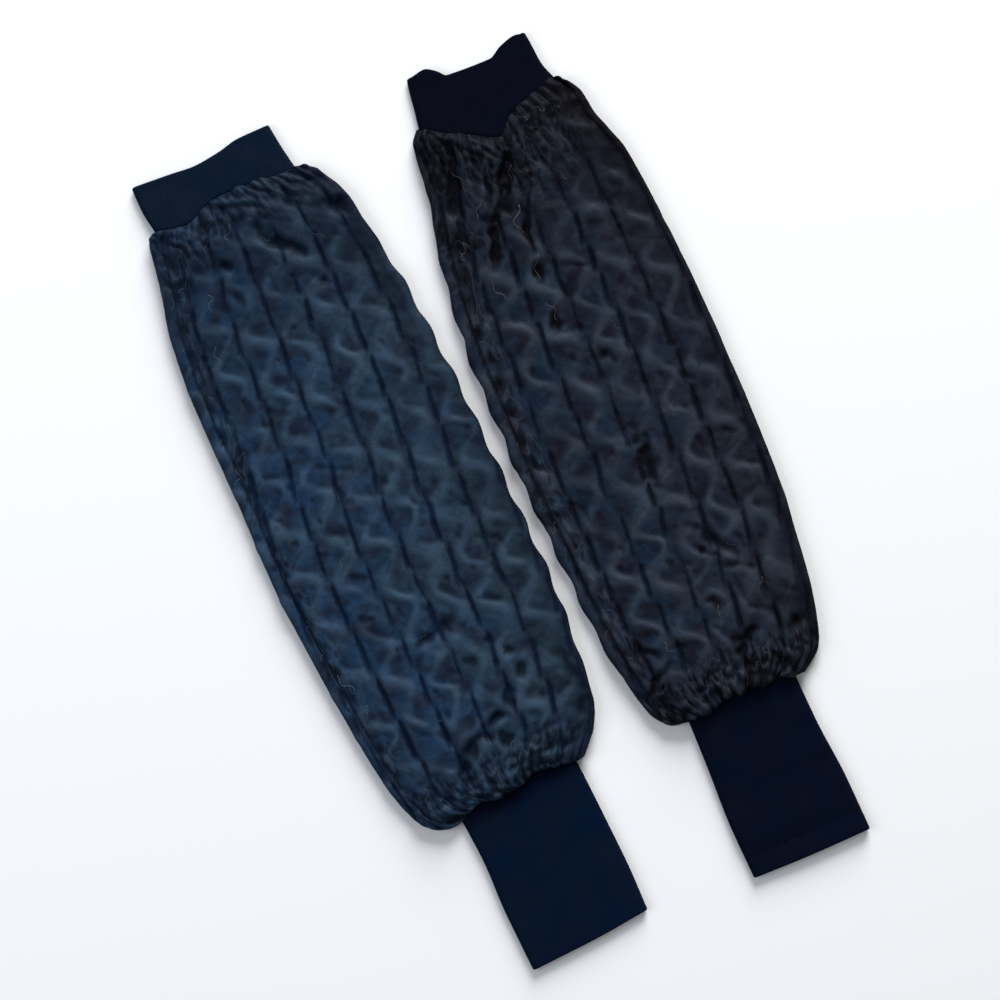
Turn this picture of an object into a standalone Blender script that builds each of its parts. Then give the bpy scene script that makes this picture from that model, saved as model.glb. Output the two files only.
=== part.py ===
"""A pair of quilted arm sleeves laid flat, side by side, upper-arm cuffs towards +Y.

Each sleeve is three cloth tubes: a gathered, quilted body and two plain knit cuffs, all resting
on the surface at z = 0. Lengths are in metres.
"""

import math
from collections import namedtuple

import bmesh
import bpy
from mathutils import Vector

# cloth thicknesses
CUFF_WALL = 0.0020  # knit folded double, at its folds
BODY_WALL = 0.0030  # quilted cloth, at its folds
LOWER_SHARE = 0.45  # the lower layer's part of the cloth, the upper one carries the ridges
LOWER_REACH = 0.060  # how far from a seam the lower layer has it
SEAM_GAP = 0.0004  # between a body and its cuff
CUFF_SLIT = 0.0011  # between a cuff's two layers
BODY_SLIT = 0.0036  # between a body's two layers, on its centre line
FOLD_SLIT = 0.0011  # the same beside the fold

# quilting: straight grooves, and between each two a winding ridge
RIDGE_RISE = 0.0013
GROOVE_DEPTH = 0.0008
RIDGE_SWING = 0.0055  # to either side of the channel's middle
RIDGE_FOOT = 0.0026  # from a ridge's crest to its foot
GROOVE_SHOULDER = 0.0014  # from a groove's bottom to the plain cloth
RINGS_A_WAVE = 4
COLUMNS_A_CHANNEL = 6  # groove, shoulder, foot, crest, foot, shoulder
CHANNELS_EACH_WAY = 4  # from the middle groove round to the underside
COLUMNS = 2 * CHANNELS_EACH_WAY * COLUMNS_A_CHANNEL + 1
SCALLOP = 0.0014  # the edge beside the other sleeve swells and dips by this
SCALLOP_START = 0.100  # how far from a seam it is full

# gathers beside each cuff seam
GATHER_RISE = 0.0022
GATHERS_A_CHANNEL = 2
GATHER_UNEVEN = 0.3  # the share of the rise that comes and goes
GATHER_SHUFFLE = 2.3  # from one column to the next, in radians
GATHER_REACH = 0.050  # how far they run into the body
GATHER_START = 0.006  # how far from the seam they are full
WRIST_SEAM_REACH = 0.045  # how far the wrist seam's line carries the rings beside it
UPPER_SEAM_REACH = 0.070
MOUTH_STEPS = (0.0, 0.0012, 0.0034, 0.0070, 0.0120)  # rings beside a seam, from it
RING_CLEARANCE = 0.004  # least space between those and the even rings

UNDER_MARGIN = 0.002  # how far the outermost columns reach under the fold
UNDER_POINTS = 3  # between those, along the flat underside
SECTION_BULGE = 2.2  # power of the section's crown, 2 is a parabola
INNER_TOP_POINTS = 9
INNER_UNDER_POINTS = 5
INNER_RING_STEP = 0.026
CUFF_RING_STEP = 0.026  # the most between two rings outside a cuff
CUFF_INNER_STEPS = 3
DEEPEST_CREASE = 0.5  # of the upper layer
SHARP_EDGE = math.radians(50)

# the sleeves lean together towards the wrists
LEAN = math.radians(1.45)
APART = 0.1474  # between the sleeves' middles
STAGGER = 0.0094  # how much nearer the right sleeve lies

Row = namedtuple("Row", "y left right top fold sag drift")
Mark = namedtuple("Mark", "across y")
Crease = namedtuple("Crease", "x0 y0 x1 y1 depth width")
Sleeve = namedtuple(
    "Sleeve",
    "rows wrist_seam upper_seam wave phase channels scalloped bulge creases wrist upper",
)
Cloth = namedtuple("Cloth", "low slit side")
Edges = namedtuple("Edges", "y left right")
Cuff = namedtuple("Cuff", "edges end")

# y along the sleeve, left and right edges, height on the centre line, height at the folds,
# how far the corners hang past the middle, and the quilting's drift across, in channels
LEFT_ROWS = (
    Row(-0.1530, -0.0364, 0.0374, 0.0053, 0.0052, 0.0000, 0.00),
    Row(-0.1518, -0.0425, 0.0400, 0.0084, 0.0060, 0.0034, 0.00),
    Row(-0.1496, -0.0492, 0.0432, 0.0112, 0.0070, 0.0042, 0.00),
    Row(-0.1460, -0.0556, 0.0485, 0.0123, 0.0075, 0.0030, 0.00),
    Row(-0.1410, -0.0602, 0.0546, 0.0127, 0.0077, 0.0014, 0.00),
    Row(-0.1260, -0.0654, 0.0622, 0.0124, 0.0074, 0.0000, 0.01),
    Row(-0.0960, -0.0692, 0.0666, 0.0110, 0.0068, 0.0000, 0.03),
    Row(-0.0480, -0.0720, 0.0711, 0.0096, 0.0064, 0.0000, 0.06),
    Row(0.0080, -0.0735, 0.0720, 0.0092, 0.0064, 0.0000, 0.13),
    Row(0.0600, -0.0709, 0.0725, 0.0092, 0.0064, 0.0000, 0.32),
    Row(0.1200, -0.0688, 0.0712, 0.0098, 0.0066, 0.0000, 0.52),
    Row(0.1620, -0.0640, 0.0675, 0.0112, 0.0070, 0.0000, 0.60),
    Row(0.1920, -0.0558, 0.0636, 0.0121, 0.0075, -0.0004, 0.64),
    Row(0.2080, -0.0523, 0.0580, 0.0124, 0.0075, -0.0016, 0.64),
    Row(0.2150, -0.0500, 0.0534, 0.0117, 0.0072, -0.0024, 0.64),
    Row(0.2192, -0.0470, 0.0485, 0.0092, 0.0062, -0.0018, 0.64),
    Row(0.2215, -0.0446, 0.0437, 0.0053, 0.0052, 0.0000, 0.64),
)
RIGHT_ROWS = (
    Row(-0.1490, -0.0347, 0.0316, 0.0053, 0.0052, 0.0000, -0.20),
    Row(-0.1478, -0.0400, 0.0348, 0.0084, 0.0060, 0.0034, -0.20),
    Row(-0.1456, -0.0446, 0.0404, 0.0112, 0.0070, 0.0040, -0.20),
    Row(-0.1420, -0.0500, 0.0474, 0.0123, 0.0075, 0.0026, -0.20),
    Row(-0.1370, -0.0538, 0.0523, 0.0127, 0.0077, 0.0010, -0.20),
    Row(-0.1200, -0.0580, 0.0577, 0.0124, 0.0074, 0.0000, -0.21),
    Row(-0.0900, -0.0629, 0.0627, 0.0112, 0.0068, 0.0000, -0.22),
    Row(-0.0400, -0.0656, 0.0677, 0.0098, 0.0064, 0.0000, -0.20),
    Row(0.0180, -0.0677, 0.0691, 0.0092, 0.0064, 0.0000, -0.17),
    Row(0.0720, -0.0679, 0.0684, 0.0094, 0.0064, 0.0000, -0.12),
    Row(0.1260, -0.0635, 0.0657, 0.0104, 0.0068, 0.0000, -0.15),
    Row(0.1620, -0.0566, 0.0622, 0.0118, 0.0072, 0.0000, -0.20),
    Row(0.1760, -0.0521, 0.0573, 0.0119, 0.0074, 0.0000, -0.22),
    Row(0.1860, -0.0511, 0.0538, 0.0123, 0.0075, 0.0000, -0.24),
    Row(0.1980, -0.0497, 0.0520, 0.0124, 0.0075, -0.0006, -0.24),
    Row(0.2045, -0.0476, 0.0480, 0.0119, 0.0072, -0.0020, -0.24),
    Row(0.2088, -0.0442, 0.0430, 0.0094, 0.0062, -0.0024, -0.24),
    Row(0.2110, -0.0420, 0.0412, 0.0053, 0.0052, 0.0000, -0.24),
)

# where each cuff is sewn on, across the front from edge (-1) to edge (1)
LEFT_WRIST_SEAM = (
    Mark(-1.0, -0.1550),
    Mark(-0.6, -0.1515),
    Mark(-0.1, -0.1540),
    Mark(0.35, -0.1500),
    Mark(0.7, -0.1515),
    Mark(1.0, -0.1524),
)
LEFT_UPPER_SEAM = (
    Mark(-1.0, 0.2220),
    Mark(-0.6, 0.2180),
    Mark(-0.1, 0.2246),
    Mark(0.3, 0.2236),
    Mark(1.0, 0.2195),
)
RIGHT_WRIST_SEAM = (
    Mark(-1.0, -0.1490),
    Mark(-0.6, -0.1510),
    Mark(-0.2, -0.1475),
    Mark(0.3, -0.1485),
    Mark(1.0, -0.1490),
)
RIGHT_UPPER_SEAM = (
    Mark(-1.0, 0.2190),
    Mark(-0.7, 0.2110),
    Mark(-0.35, 0.2040),
    Mark(0.0, 0.1975),
    Mark(0.25, 0.2065),
    Mark(0.55, 0.2115),
    Mark(1.0, 0.2150),
)

# the deepest folds that cross the quilting, as soft troughs
LEFT_CREASES = (
    Crease(-0.030, -0.143, -0.009, -0.119, 0.0026, 0.0050),
    Crease(-0.009, -0.119, 0.022, -0.109, 0.0032, 0.0055),
    Crease(0.006, -0.121, 0.008, -0.130, 0.0020, 0.0055),
    Crease(-0.018, -0.062, 0.010, -0.050, 0.0014, 0.0060),
    Crease(0.052, 0.195, 0.060, 0.186, 0.0020, 0.0060),
    Crease(0.008, 0.198, 0.026, 0.176, 0.0024, 0.0060),
    Crease(-0.020, 0.190, -0.014, 0.178, 0.0020, 0.0060),
    Crease(0.055, -0.100, 0.060, -0.130, 0.0018, 0.0065),
)
RIGHT_CREASES = (
    Crease(-0.036, 0.200, -0.046, 0.170, 0.0028, 0.0055),
    Crease(-0.006, 0.184, -0.018, 0.158, 0.0028, 0.0055),
    Crease(-0.026, 0.152, -0.032, 0.134, 0.0022, 0.0060),
    Crease(-0.010, 0.128, -0.016, 0.086, 0.0016, 0.0060),
    Crease(0.010, -0.048, 0.027, -0.070, 0.0020, 0.0055),
    Crease(0.004, -0.090, 0.010, -0.112, 0.0020, 0.0055),
    Crease(0.026, -0.112, 0.009, -0.140, 0.0024, 0.0055),
    Crease(-0.051, -0.130, -0.032, -0.117, 0.0022, 0.0055),
    Crease(0.002, 0.012, 0.004, -0.018, 0.0014, 0.0065),
)

# cuff edges from the seam to the free end, and the free end's line
LEFT_WRIST = Cuff(
    edges=(Edges(-0.1530, -0.0364, 0.0374), Edges(-0.1800, -0.0356, 0.0378),
           Edges(-0.2160, -0.0374, 0.0378), Edges(-0.2505, -0.0375, 0.0363)),
    end=(Mark(-1.0, -0.2508), Mark(0.0, -0.2505), Mark(1.0, -0.2486)),
)
LEFT_UPPER = Cuff(
    edges=(Edges(0.2215, -0.0446, 0.0437), Edges(0.2350, -0.0461, 0.0418),
           Edges(0.2490, -0.0455, 0.0405)),
    end=(Mark(-1.0, 0.2506), Mark(-0.5, 0.2482), Mark(-0.1, 0.2462), Mark(0.25, 0.2472),
         Mark(0.6, 0.2493), Mark(1.0, 0.2488)),
)
RIGHT_WRIST = Cuff(
    edges=(Edges(-0.1490, -0.0347, 0.0316), Edges(-0.1800, -0.0354, 0.0325),
           Edges(-0.2160, -0.0367, 0.0353), Edges(-0.2490, -0.0359, 0.0361)),
    end=(Mark(-1.0, -0.2485), Mark(0.0, -0.2491), Mark(1.0, -0.2487)),
)
RIGHT_UPPER = Cuff(
    edges=(Edges(0.2110, -0.0420, 0.0412), Edges(0.2250, -0.0400, 0.0372),
           Edges(0.2400, -0.0382, 0.0361), Edges(0.2470, -0.0370, 0.0353)),
    end=(Mark(-1.0, 0.2484), Mark(-0.75, 0.2498), Mark(-0.56, 0.2462), Mark(-0.42, 0.2416),
         Mark(0.35, 0.2404), Mark(0.6, 0.2446), Mark(0.9, 0.2472), Mark(1.0, 0.2466)),
)

LEFT = Sleeve(
    rows=LEFT_ROWS,
    wrist_seam=LEFT_WRIST_SEAM,
    upper_seam=LEFT_UPPER_SEAM,
    wave=0.0300,
    phase=0.0125,
    channels=6.50,
    scalloped=1,
    bulge=0.0135,
    creases=LEFT_CREASES,
    wrist=LEFT_WRIST,
    upper=LEFT_UPPER,
)
RIGHT = Sleeve(
    rows=RIGHT_ROWS,
    wrist_seam=RIGHT_WRIST_SEAM,
    upper_seam=RIGHT_UPPER_SEAM,
    wave=0.0305,
    phase=0.0220,
    channels=6.27,
    scalloped=-1,
    bulge=0.0240,
    creases=RIGHT_CREASES,
    wrist=RIGHT_WRIST,
    upper=RIGHT_UPPER,
)

# colour, roughness and metallic value of each cloth
LEFT_QUILT = ((0.012, 0.030, 0.055), 0.55, 0.0)
RIGHT_QUILT = ((0.010, 0.020, 0.034), 0.55, 0.0)
LEFT_KNIT = ((0.003, 0.010, 0.024), 0.85, 0.0)
RIGHT_KNIT = ((0.003, 0.004, 0.012), 0.85, 0.0)


def smooth(places, values, at):
    """Reads a smooth curve through the values, with no overshoot between two of them."""
    if at <= places[0]:
        return values[0]
    if at >= places[-1]:
        return values[-1]
    slopes = [(b - a) / (v - u) for u, v, a, b in zip(places, places[1:], values, values[1:])]
    bends = [slopes[0]]
    for before, after in zip(slopes, slopes[1:]):
        same_way = before * after > 0
        bends.append(2 * before * after / (before + after) if same_way else 0.0)
    bends.append(slopes[-1])
    i = next(k for k in range(len(slopes)) if at <= places[k + 1])
    step = places[i + 1] - places[i]
    t = (at - places[i]) / step
    start = (1 + 2 * t) * (1 - t) ** 2 * values[i] + t * (1 - t) ** 2 * step * bends[i]
    return start + t * t * (3 - 2 * t) * values[i + 1] + t * t * (t - 1) * step * bends[i + 1]


def row_at(rows, y):
    """A table's values at any y along the sleeve."""
    rows = sorted(rows)
    places = [row.y for row in rows]
    return rows[0]._make(smooth(places, column, y) for column in zip(*rows))


def line_at(marks, across):
    return smooth([mark.across for mark in marks], [mark.y for mark in marks], across)


def wave(sleeve, y, channel):
    """The sway of a channel's ridge at y, from -1 to 1. Neighbours sway opposite ways."""
    phase = sleeve.phase + (channel % 2) * sleeve.wave / 2
    return math.cos(2 * math.pi * (y - phase) / sleeve.wave)


def fade(distance, reach):
    """1 at no distance, easing to 0 at the reach."""
    t = min(max(distance / reach, 0.0), 1.0)
    return (1 - t) ** 2 * (1 + 2 * t)


def on_section(row, around):
    """The outer point at a distance around from the crown, its normal, and its share across."""
    radius = row.fold / 2
    flat = (row.right - row.left) / 2 - radius
    middle = (row.right + row.left) / 2
    side = math.copysign(1.0, around)
    reach = abs(around)
    if reach <= flat:
        share = reach / flat
        crown = (row.top - row.fold) * (1 - share**SECTION_BULGE)
        return middle + around, row.fold + crown, (0.0, 1.0), side * share
    turn = (reach - flat) / radius
    if turn < math.pi:
        out, up = math.sin(turn), math.cos(turn)
        return middle + side * (flat + radius * out), radius * (1 + up), (side * out, up), side
    return middle + side * (flat - (reach - flat - radius * math.pi)), 0.0, (0.0, -1.0), side


def seam_distances(sleeve, y):
    """How far y lies from the wrist seam and from the upper seam."""
    return y - sleeve.rows[0].y, sleeve.rows[-1].y - y


def column_places(sleeve, row):
    """Each column's distance around from the crown, with one column on the edge of each fold."""
    quarter = row.fold * math.pi / 4
    flat = (row.right - row.left) / 2 - row.fold / 2
    pitch = 2 * (flat + quarter) / sleeve.channels
    gathered = max(fade(d, GATHER_REACH) for d in seam_distances(sleeve, row.y))
    places = []
    for index in range(COLUMNS):
        channel, kind = divmod(index, COLUMNS_A_CHANNEL)
        channel += row.drift - CHANNELS_EACH_WAY
        inside = min(max((flat - abs(channel + 0.5) * pitch) / RIDGE_SWING, 0.0), 1.0)
        swing = inside * RIDGE_SWING * wave(sleeve, row.y, index // COLUMNS_A_CHANNEL)
        crest, foot = 0.5 + swing / pitch, RIDGE_FOOT / pitch
        shoulder = GROOVE_SHOULDER / pitch
        quilted = (0.0, shoulder, crest - foot, crest, crest + foot, 1 - shoulder)[kind]
        even = kind / COLUMNS_A_CHANNEL
        places.append((channel + gathered * even + (1 - gathered) * quilted) * pitch)
    for edge in (-flat - quarter, flat + quarter):
        nearest = min(range(COLUMNS), key=lambda index: abs(places[index] - edge))
        places[nearest] = edge
    under = flat + 2 * quarter + UNDER_MARGIN
    places[0] = min(places[0], -under)
    places[-1] = max(places[-1], under)
    return places


def thickness(sleeve, row):
    """The lower layer and the slit above it, on the centre line and beside the fold, at y."""
    nearest = min(seam_distances(sleeve, row.y))
    opened = 1 - fade(nearest, GATHER_REACH / 2)
    slit = CUFF_SLIT + (BODY_SLIT - CUFF_SLIT) * opened
    side = CUFF_WALL + (BODY_WALL - CUFF_WALL) * opened
    thin = fade(nearest, LOWER_REACH)
    low = (row.top - slit) * LOWER_SHARE
    return Cloth(low * (1 - thin) + CUFF_WALL * thin, slit, side)


def slit_top(cloth, across):
    """The height of the upper layer's underside."""
    return cloth.low + FOLD_SLIT + (cloth.slit - FOLD_SLIT) * (1 - across**2)


def crease_depth(creases, x, y):
    """How far the creases near a point press the cloth in."""
    depth = 0.0
    for crease in creases:
        run = Vector((crease.x1 - crease.x0, crease.y1 - crease.y0))
        away = Vector((x - crease.x0, y - crease.y0))
        along = min(max(away.dot(run) / run.length_squared, 0.0), 1.0)
        distance = (away - run * along).length
        depth += crease.depth * math.exp(-((distance / crease.width) ** 2))
    return depth


def relief(sleeve, row, index):
    """How far a column stands out of the plain cloth: quilting, turning to gathers at a seam."""
    nearest = min(seam_distances(sleeve, row.y))
    gathered = fade(nearest, GATHER_REACH)
    rising = 1 - fade(nearest, GATHER_START)
    quilted = (-GROOVE_DEPTH, 0.0, 0.0, RIDGE_RISE, 0.0, 0.0)[index % COLUMNS_A_CHANNEL]
    shuffled = math.sin(GATHER_SHUFFLE * index + row.y / GATHER_REACH)
    uneven = 1 - GATHER_UNEVEN * (1 - shuffled)
    turn = 2 * math.pi * GATHERS_A_CHANNEL * index / COLUMNS_A_CHANNEL
    return rising * (gathered * GATHER_RISE * uneven * math.cos(turn) + (1 - gathered) * quilted)


def scallop(sleeve, row, side):
    """How far the edge beside the other sleeve bulges, once a wave."""
    if side != sleeve.scalloped:
        return 0.0
    calm = max(fade(d, SCALLOP_START) for d in seam_distances(sleeve, row.y))
    return (1 - calm) * SCALLOP * math.cos(2 * math.pi * (row.y - sleeve.bulge) / sleeve.wave)


def seam_shift(sleeve, row, across, up):
    """How far a ring near a seam is carried along by the seam's line and its hanging corners."""
    shift = -row.sag * abs(across) ** 3 * min(1.0, 1.0 + up)
    for marks, end, reach in (
        (sleeve.wrist_seam, sleeve.rows[0].y, WRIST_SEAM_REACH),
        (sleeve.upper_seam, sleeve.rows[-1].y, UPPER_SEAM_REACH),
    ):
        share = (1 + across) / 2
        straight = marks[0].y * (1 - share) + marks[-1].y * share
        line = line_at(marks, across) if up > 0 else straight
        shift += (line - end) * fade(abs(row.y - end), reach)
    return shift


def body_ring(sleeve, y):
    row = row_at(sleeve.rows, y)
    cloth = thickness(sleeve, row)
    ring = []
    for index, around in enumerate(column_places(sleeve, row)):
        x, z, (out, up), across = on_section(row, around)
        height = relief(sleeve, row, index) * max(0.0, up)
        x += out * height + abs(out) * across * scallop(sleeve, row, across)
        z += up * height
        along = y + seam_shift(sleeve, row, across, up)
        if up > 0:
            deepest = DEEPEST_CREASE * (z - slit_top(cloth, across))
            z -= up * min(crease_depth(sleeve.creases, x, along), deepest)
        ring.append(Vector((x, along, z)))
    first, last = ring[0], ring[-1]
    for i in range(1, UNDER_POINTS + 1):
        ring.append(last.lerp(first, i / (UNDER_POINTS + 1)))
    return ring


def body_slit(sleeve, y):
    """The plain inside of a body at y: its upper layer's underside, then its lower layer's top."""
    row = row_at(sleeve.rows, y)
    cloth = thickness(sleeve, row)
    middle, half = (row.left + row.right) / 2, (row.right - row.left) / 2 - cloth.side
    ring = []
    for i in range(INNER_TOP_POINTS):
        across = -1 + 2 * i / (INNER_TOP_POINTS - 1)
        along = y + seam_shift(sleeve, row, across, 1.0)
        ring.append(Vector((middle + half * across, along, slit_top(cloth, across))))
    for i in range(INNER_UNDER_POINTS):
        across = 1 - 2 * i / (INNER_UNDER_POINTS - 1)
        along = y + seam_shift(sleeve, row, across, -1.0)
        ring.append(Vector((middle + half * across, along, cloth.low)))
    return ring


def ring_places(sleeve):
    """Rings close together at both seams, and four to a wave of the quilting between."""
    wrist, upper = sleeve.rows[0].y, sleeve.rows[-1].y
    step = sleeve.wave / RINGS_A_WAVE
    first = math.ceil((wrist + MOUTH_STEPS[-1] + RING_CLEARANCE - sleeve.phase) / step)
    last = math.floor((upper - MOUTH_STEPS[-1] - RING_CLEARANCE - sleeve.phase) / step)
    even = [sleeve.phase + step * i for i in range(first, last + 1)]
    return [wrist + s for s in MOUTH_STEPS] + even + [upper - s for s in reversed(MOUTH_STEPS)]


def inner_places(sleeve):
    wrist, upper = sleeve.rows[0].y, sleeve.rows[-1].y
    inside = round((upper - wrist) / INNER_RING_STEP)
    return [wrist + (upper - wrist) * i / inside for i in range(inside + 1)]


def body_tube(sleeve):
    outer = [body_ring(sleeve, y) for y in ring_places(sleeve)]
    inner = [body_slit(sleeve, y) for y in inner_places(sleeve)]
    return outer, inner


def cuff_tube(sleeve, cuff, seam_y):
    """A plain flat tube from the body's mouth, with the mouth's own rings, to its free end."""
    mouth = row_at(sleeve.rows, seam_y)
    seam, free = cuff.edges[0].y, cuff.edges[-1].y
    outward = math.copysign(1.0, free - seam)

    def moved(points, share):
        edges = row_at(cuff.edges, seam + (free - seam) * share)
        scale = (edges.right - edges.left) / (mouth.right - mouth.left)
        shift = (edges.right + edges.left - scale * (mouth.right + mouth.left)) / 2
        ring = []
        for point in points:
            x = scale * point.x + shift
            across = (2 * x - edges.left - edges.right) / (edges.right - edges.left - CUFF_WALL)
            start = point.y + outward * SEAM_GAP
            end = line_at(cuff.end, across)
            ring.append(Vector((x, start + (end - start) * share, point.z)))
        return ring

    steps = math.ceil(abs(free - seam) / CUFF_RING_STEP)
    outer_mouth, inner_mouth = body_ring(sleeve, seam_y), body_slit(sleeve, seam_y)
    outer = [moved(outer_mouth, i / steps) for i in range(steps + 1)]
    inner = [moved(inner_mouth, i / CUFF_INNER_STEPS) for i in range(CUFF_INNER_STEPS + 1)]
    return outer, inner


def bridge(mesh, outer, inner):
    """Closes the rim between two loops of unequal number, always by the shorter diagonal."""

    def apart(one, other):
        return (one.co.xz - other.co.xz).length

    nearest = min(range(len(outer)), key=lambda k: apart(outer[k], inner[0]))
    outer = outer[nearest:] + outer[:nearest] + [outer[nearest]]
    inner = inner + inner[:1]
    i = j = 0
    while i < len(outer) - 1 or j < len(inner) - 1:
        a, b = outer[i], inner[j]
        by_outer = apart(outer[i + 1], b) if i < len(outer) - 1 else math.inf
        by_inner = apart(inner[j + 1], a) if j < len(inner) - 1 else math.inf
        if by_outer <= by_inner:
            i += 1
            mesh.faces.new((a, outer[i], b))
        else:
            j += 1
            mesh.faces.new((a, inner[j], b))


def skin(mesh, rings):
    """Faces between neighbouring rings of equal number."""
    loops = [[mesh.verts.new(point) for point in ring] for ring in rings]
    for low, high in zip(loops, loops[1:]):
        count = len(low)
        for i in range(count):
            k = (i + 1) % count
            mesh.faces.new((low[i], low[k], high[k], high[i]))
    return loops[0], loops[-1]


def cloth_material(name, look):
    colour, roughness, metallic = look
    material = bpy.data.materials.new(name)
    material.use_nodes = True
    shader = material.node_tree.nodes["Principled BSDF"]
    shader.inputs["Base Color"].default_value = (*colour, 1.0)
    shader.inputs["Roughness"].default_value = roughness
    shader.inputs["Metallic"].default_value = metallic
    return material


def tube_object(name, tube, look, parent):
    """One closed wall: an outer skin, an inner skin, and the rims between them."""
    outer, inner = tube
    mesh = bmesh.new()
    outer_start, outer_end = skin(mesh, outer)
    inner_start, inner_end = skin(mesh, inner)
    bridge(mesh, outer_start, inner_start)
    bridge(mesh, outer_end, inner_end)
    bmesh.ops.recalc_face_normals(mesh, faces=mesh.faces)
    data = bpy.data.meshes.new(name)
    mesh.to_mesh(data)
    mesh.free()
    data.shade_smooth()
    data.set_sharp_from_angle(angle=SHARP_EDGE)
    data.materials.append(cloth_material(name, look))
    part = bpy.data.objects.new(name, data)
    bpy.context.scene.collection.objects.link(part)
    part.parent = parent
    return part


def build_sleeve(side, sleeve, quilt, knit, lean, place):
    """A sleeve's three tubes, made in its own frame and laid by its empty."""
    holder = bpy.data.objects.new(side + "_sleeve", None)
    holder.rotation_euler.z = lean
    holder.location = place
    bpy.context.scene.collection.objects.link(holder)
    upper = cuff_tube(sleeve, sleeve.upper, sleeve.rows[-1].y)
    wrist = cuff_tube(sleeve, sleeve.wrist, sleeve.rows[0].y)
    tube_object(side + "_upper_cuff", upper, knit, holder)
    tube_object(side + "_body", body_tube(sleeve), quilt, holder)
    tube_object(side + "_wrist_cuff", wrist, knit, holder)
    return holder


def centre_over_origin(holders):
    """Slides the pair so that its box stands over the origin."""
    bpy.context.view_layer.update()
    points = [
        part.matrix_world @ vertex.co
        for holder in holders
        for part in holder.children
        for vertex in part.data.vertices
    ]
    for axis in (0, 1):
        values = [point[axis] for point in points]
        middle = (min(values) + max(values)) / 2
        for holder in holders:
            holder.location[axis] -= middle


for old in list(bpy.data.objects):
    bpy.data.objects.remove(old)

pair = (
    build_sleeve("left", LEFT, LEFT_QUILT, LEFT_KNIT, LEAN, (-APART / 2, STAGGER / 2, 0)),
    build_sleeve("right", RIGHT, RIGHT_QUILT, RIGHT_KNIT, -LEAN, (APART / 2, -STAGGER / 2, 0)),
)
centre_over_origin(pair)
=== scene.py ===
import math

import bpy
import numpy as np
from mathutils import Matrix, Vector
from mathutils.bvhtree import BVHTree


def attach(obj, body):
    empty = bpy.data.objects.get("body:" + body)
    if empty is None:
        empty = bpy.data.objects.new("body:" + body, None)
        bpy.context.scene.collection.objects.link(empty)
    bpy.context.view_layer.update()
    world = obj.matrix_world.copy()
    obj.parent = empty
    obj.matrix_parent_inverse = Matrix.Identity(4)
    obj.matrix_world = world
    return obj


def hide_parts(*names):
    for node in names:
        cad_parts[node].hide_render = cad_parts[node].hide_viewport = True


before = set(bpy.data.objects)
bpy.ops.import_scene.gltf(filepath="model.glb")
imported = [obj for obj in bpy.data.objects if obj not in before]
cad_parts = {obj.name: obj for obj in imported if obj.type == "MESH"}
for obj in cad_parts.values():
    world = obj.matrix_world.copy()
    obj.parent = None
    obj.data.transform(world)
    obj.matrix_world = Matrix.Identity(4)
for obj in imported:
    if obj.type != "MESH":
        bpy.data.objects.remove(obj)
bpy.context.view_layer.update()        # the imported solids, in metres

# A pair of quilted arm sleeves laid flat side by side, upper-arm cuffs towards +Y.
# Each sleeve is worked out in its own frame, y along it, and then laid in the pair's.

# y along the sleeve, left and right edges, height on the centre line, height at the folds,
# how far the corners hang past the middle, and the quilting's drift across, in channels
rowColumns = ("y", "left", "right", "top", "fold", "sag", "drift")
leftRows = (
    (-0.1530, -0.0364, 0.0374, 0.0053, 0.0052, 0.0000, 0.00),
    (-0.1518, -0.0425, 0.0400, 0.0084, 0.0060, 0.0034, 0.00),
    (-0.1496, -0.0492, 0.0432, 0.0112, 0.0070, 0.0042, 0.00),
    (-0.1460, -0.0556, 0.0485, 0.0123, 0.0075, 0.0030, 0.00),
    (-0.1410, -0.0602, 0.0546, 0.0127, 0.0077, 0.0014, 0.00),
    (-0.1260, -0.0654, 0.0622, 0.0124, 0.0074, 0.0000, 0.01),
    (-0.0960, -0.0692, 0.0666, 0.0110, 0.0068, 0.0000, 0.03),
    (-0.0480, -0.0720, 0.0711, 0.0096, 0.0064, 0.0000, 0.06),
    (0.0080, -0.0735, 0.0720, 0.0092, 0.0064, 0.0000, 0.13),
    (0.0600, -0.0709, 0.0725, 0.0092, 0.0064, 0.0000, 0.32),
    (0.1200, -0.0688, 0.0712, 0.0098, 0.0066, 0.0000, 0.52),
    (0.1620, -0.0640, 0.0675, 0.0112, 0.0070, 0.0000, 0.60),
    (0.1920, -0.0558, 0.0636, 0.0121, 0.0075, -0.0004, 0.64),
    (0.2080, -0.0523, 0.0580, 0.0124, 0.0075, -0.0016, 0.64),
    (0.2150, -0.0500, 0.0534, 0.0117, 0.0072, -0.0024, 0.64),
    (0.2192, -0.0470, 0.0485, 0.0092, 0.0062, -0.0018, 0.64),
    (0.2215, -0.0446, 0.0437, 0.0053, 0.0052, 0.0000, 0.64),
)
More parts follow.
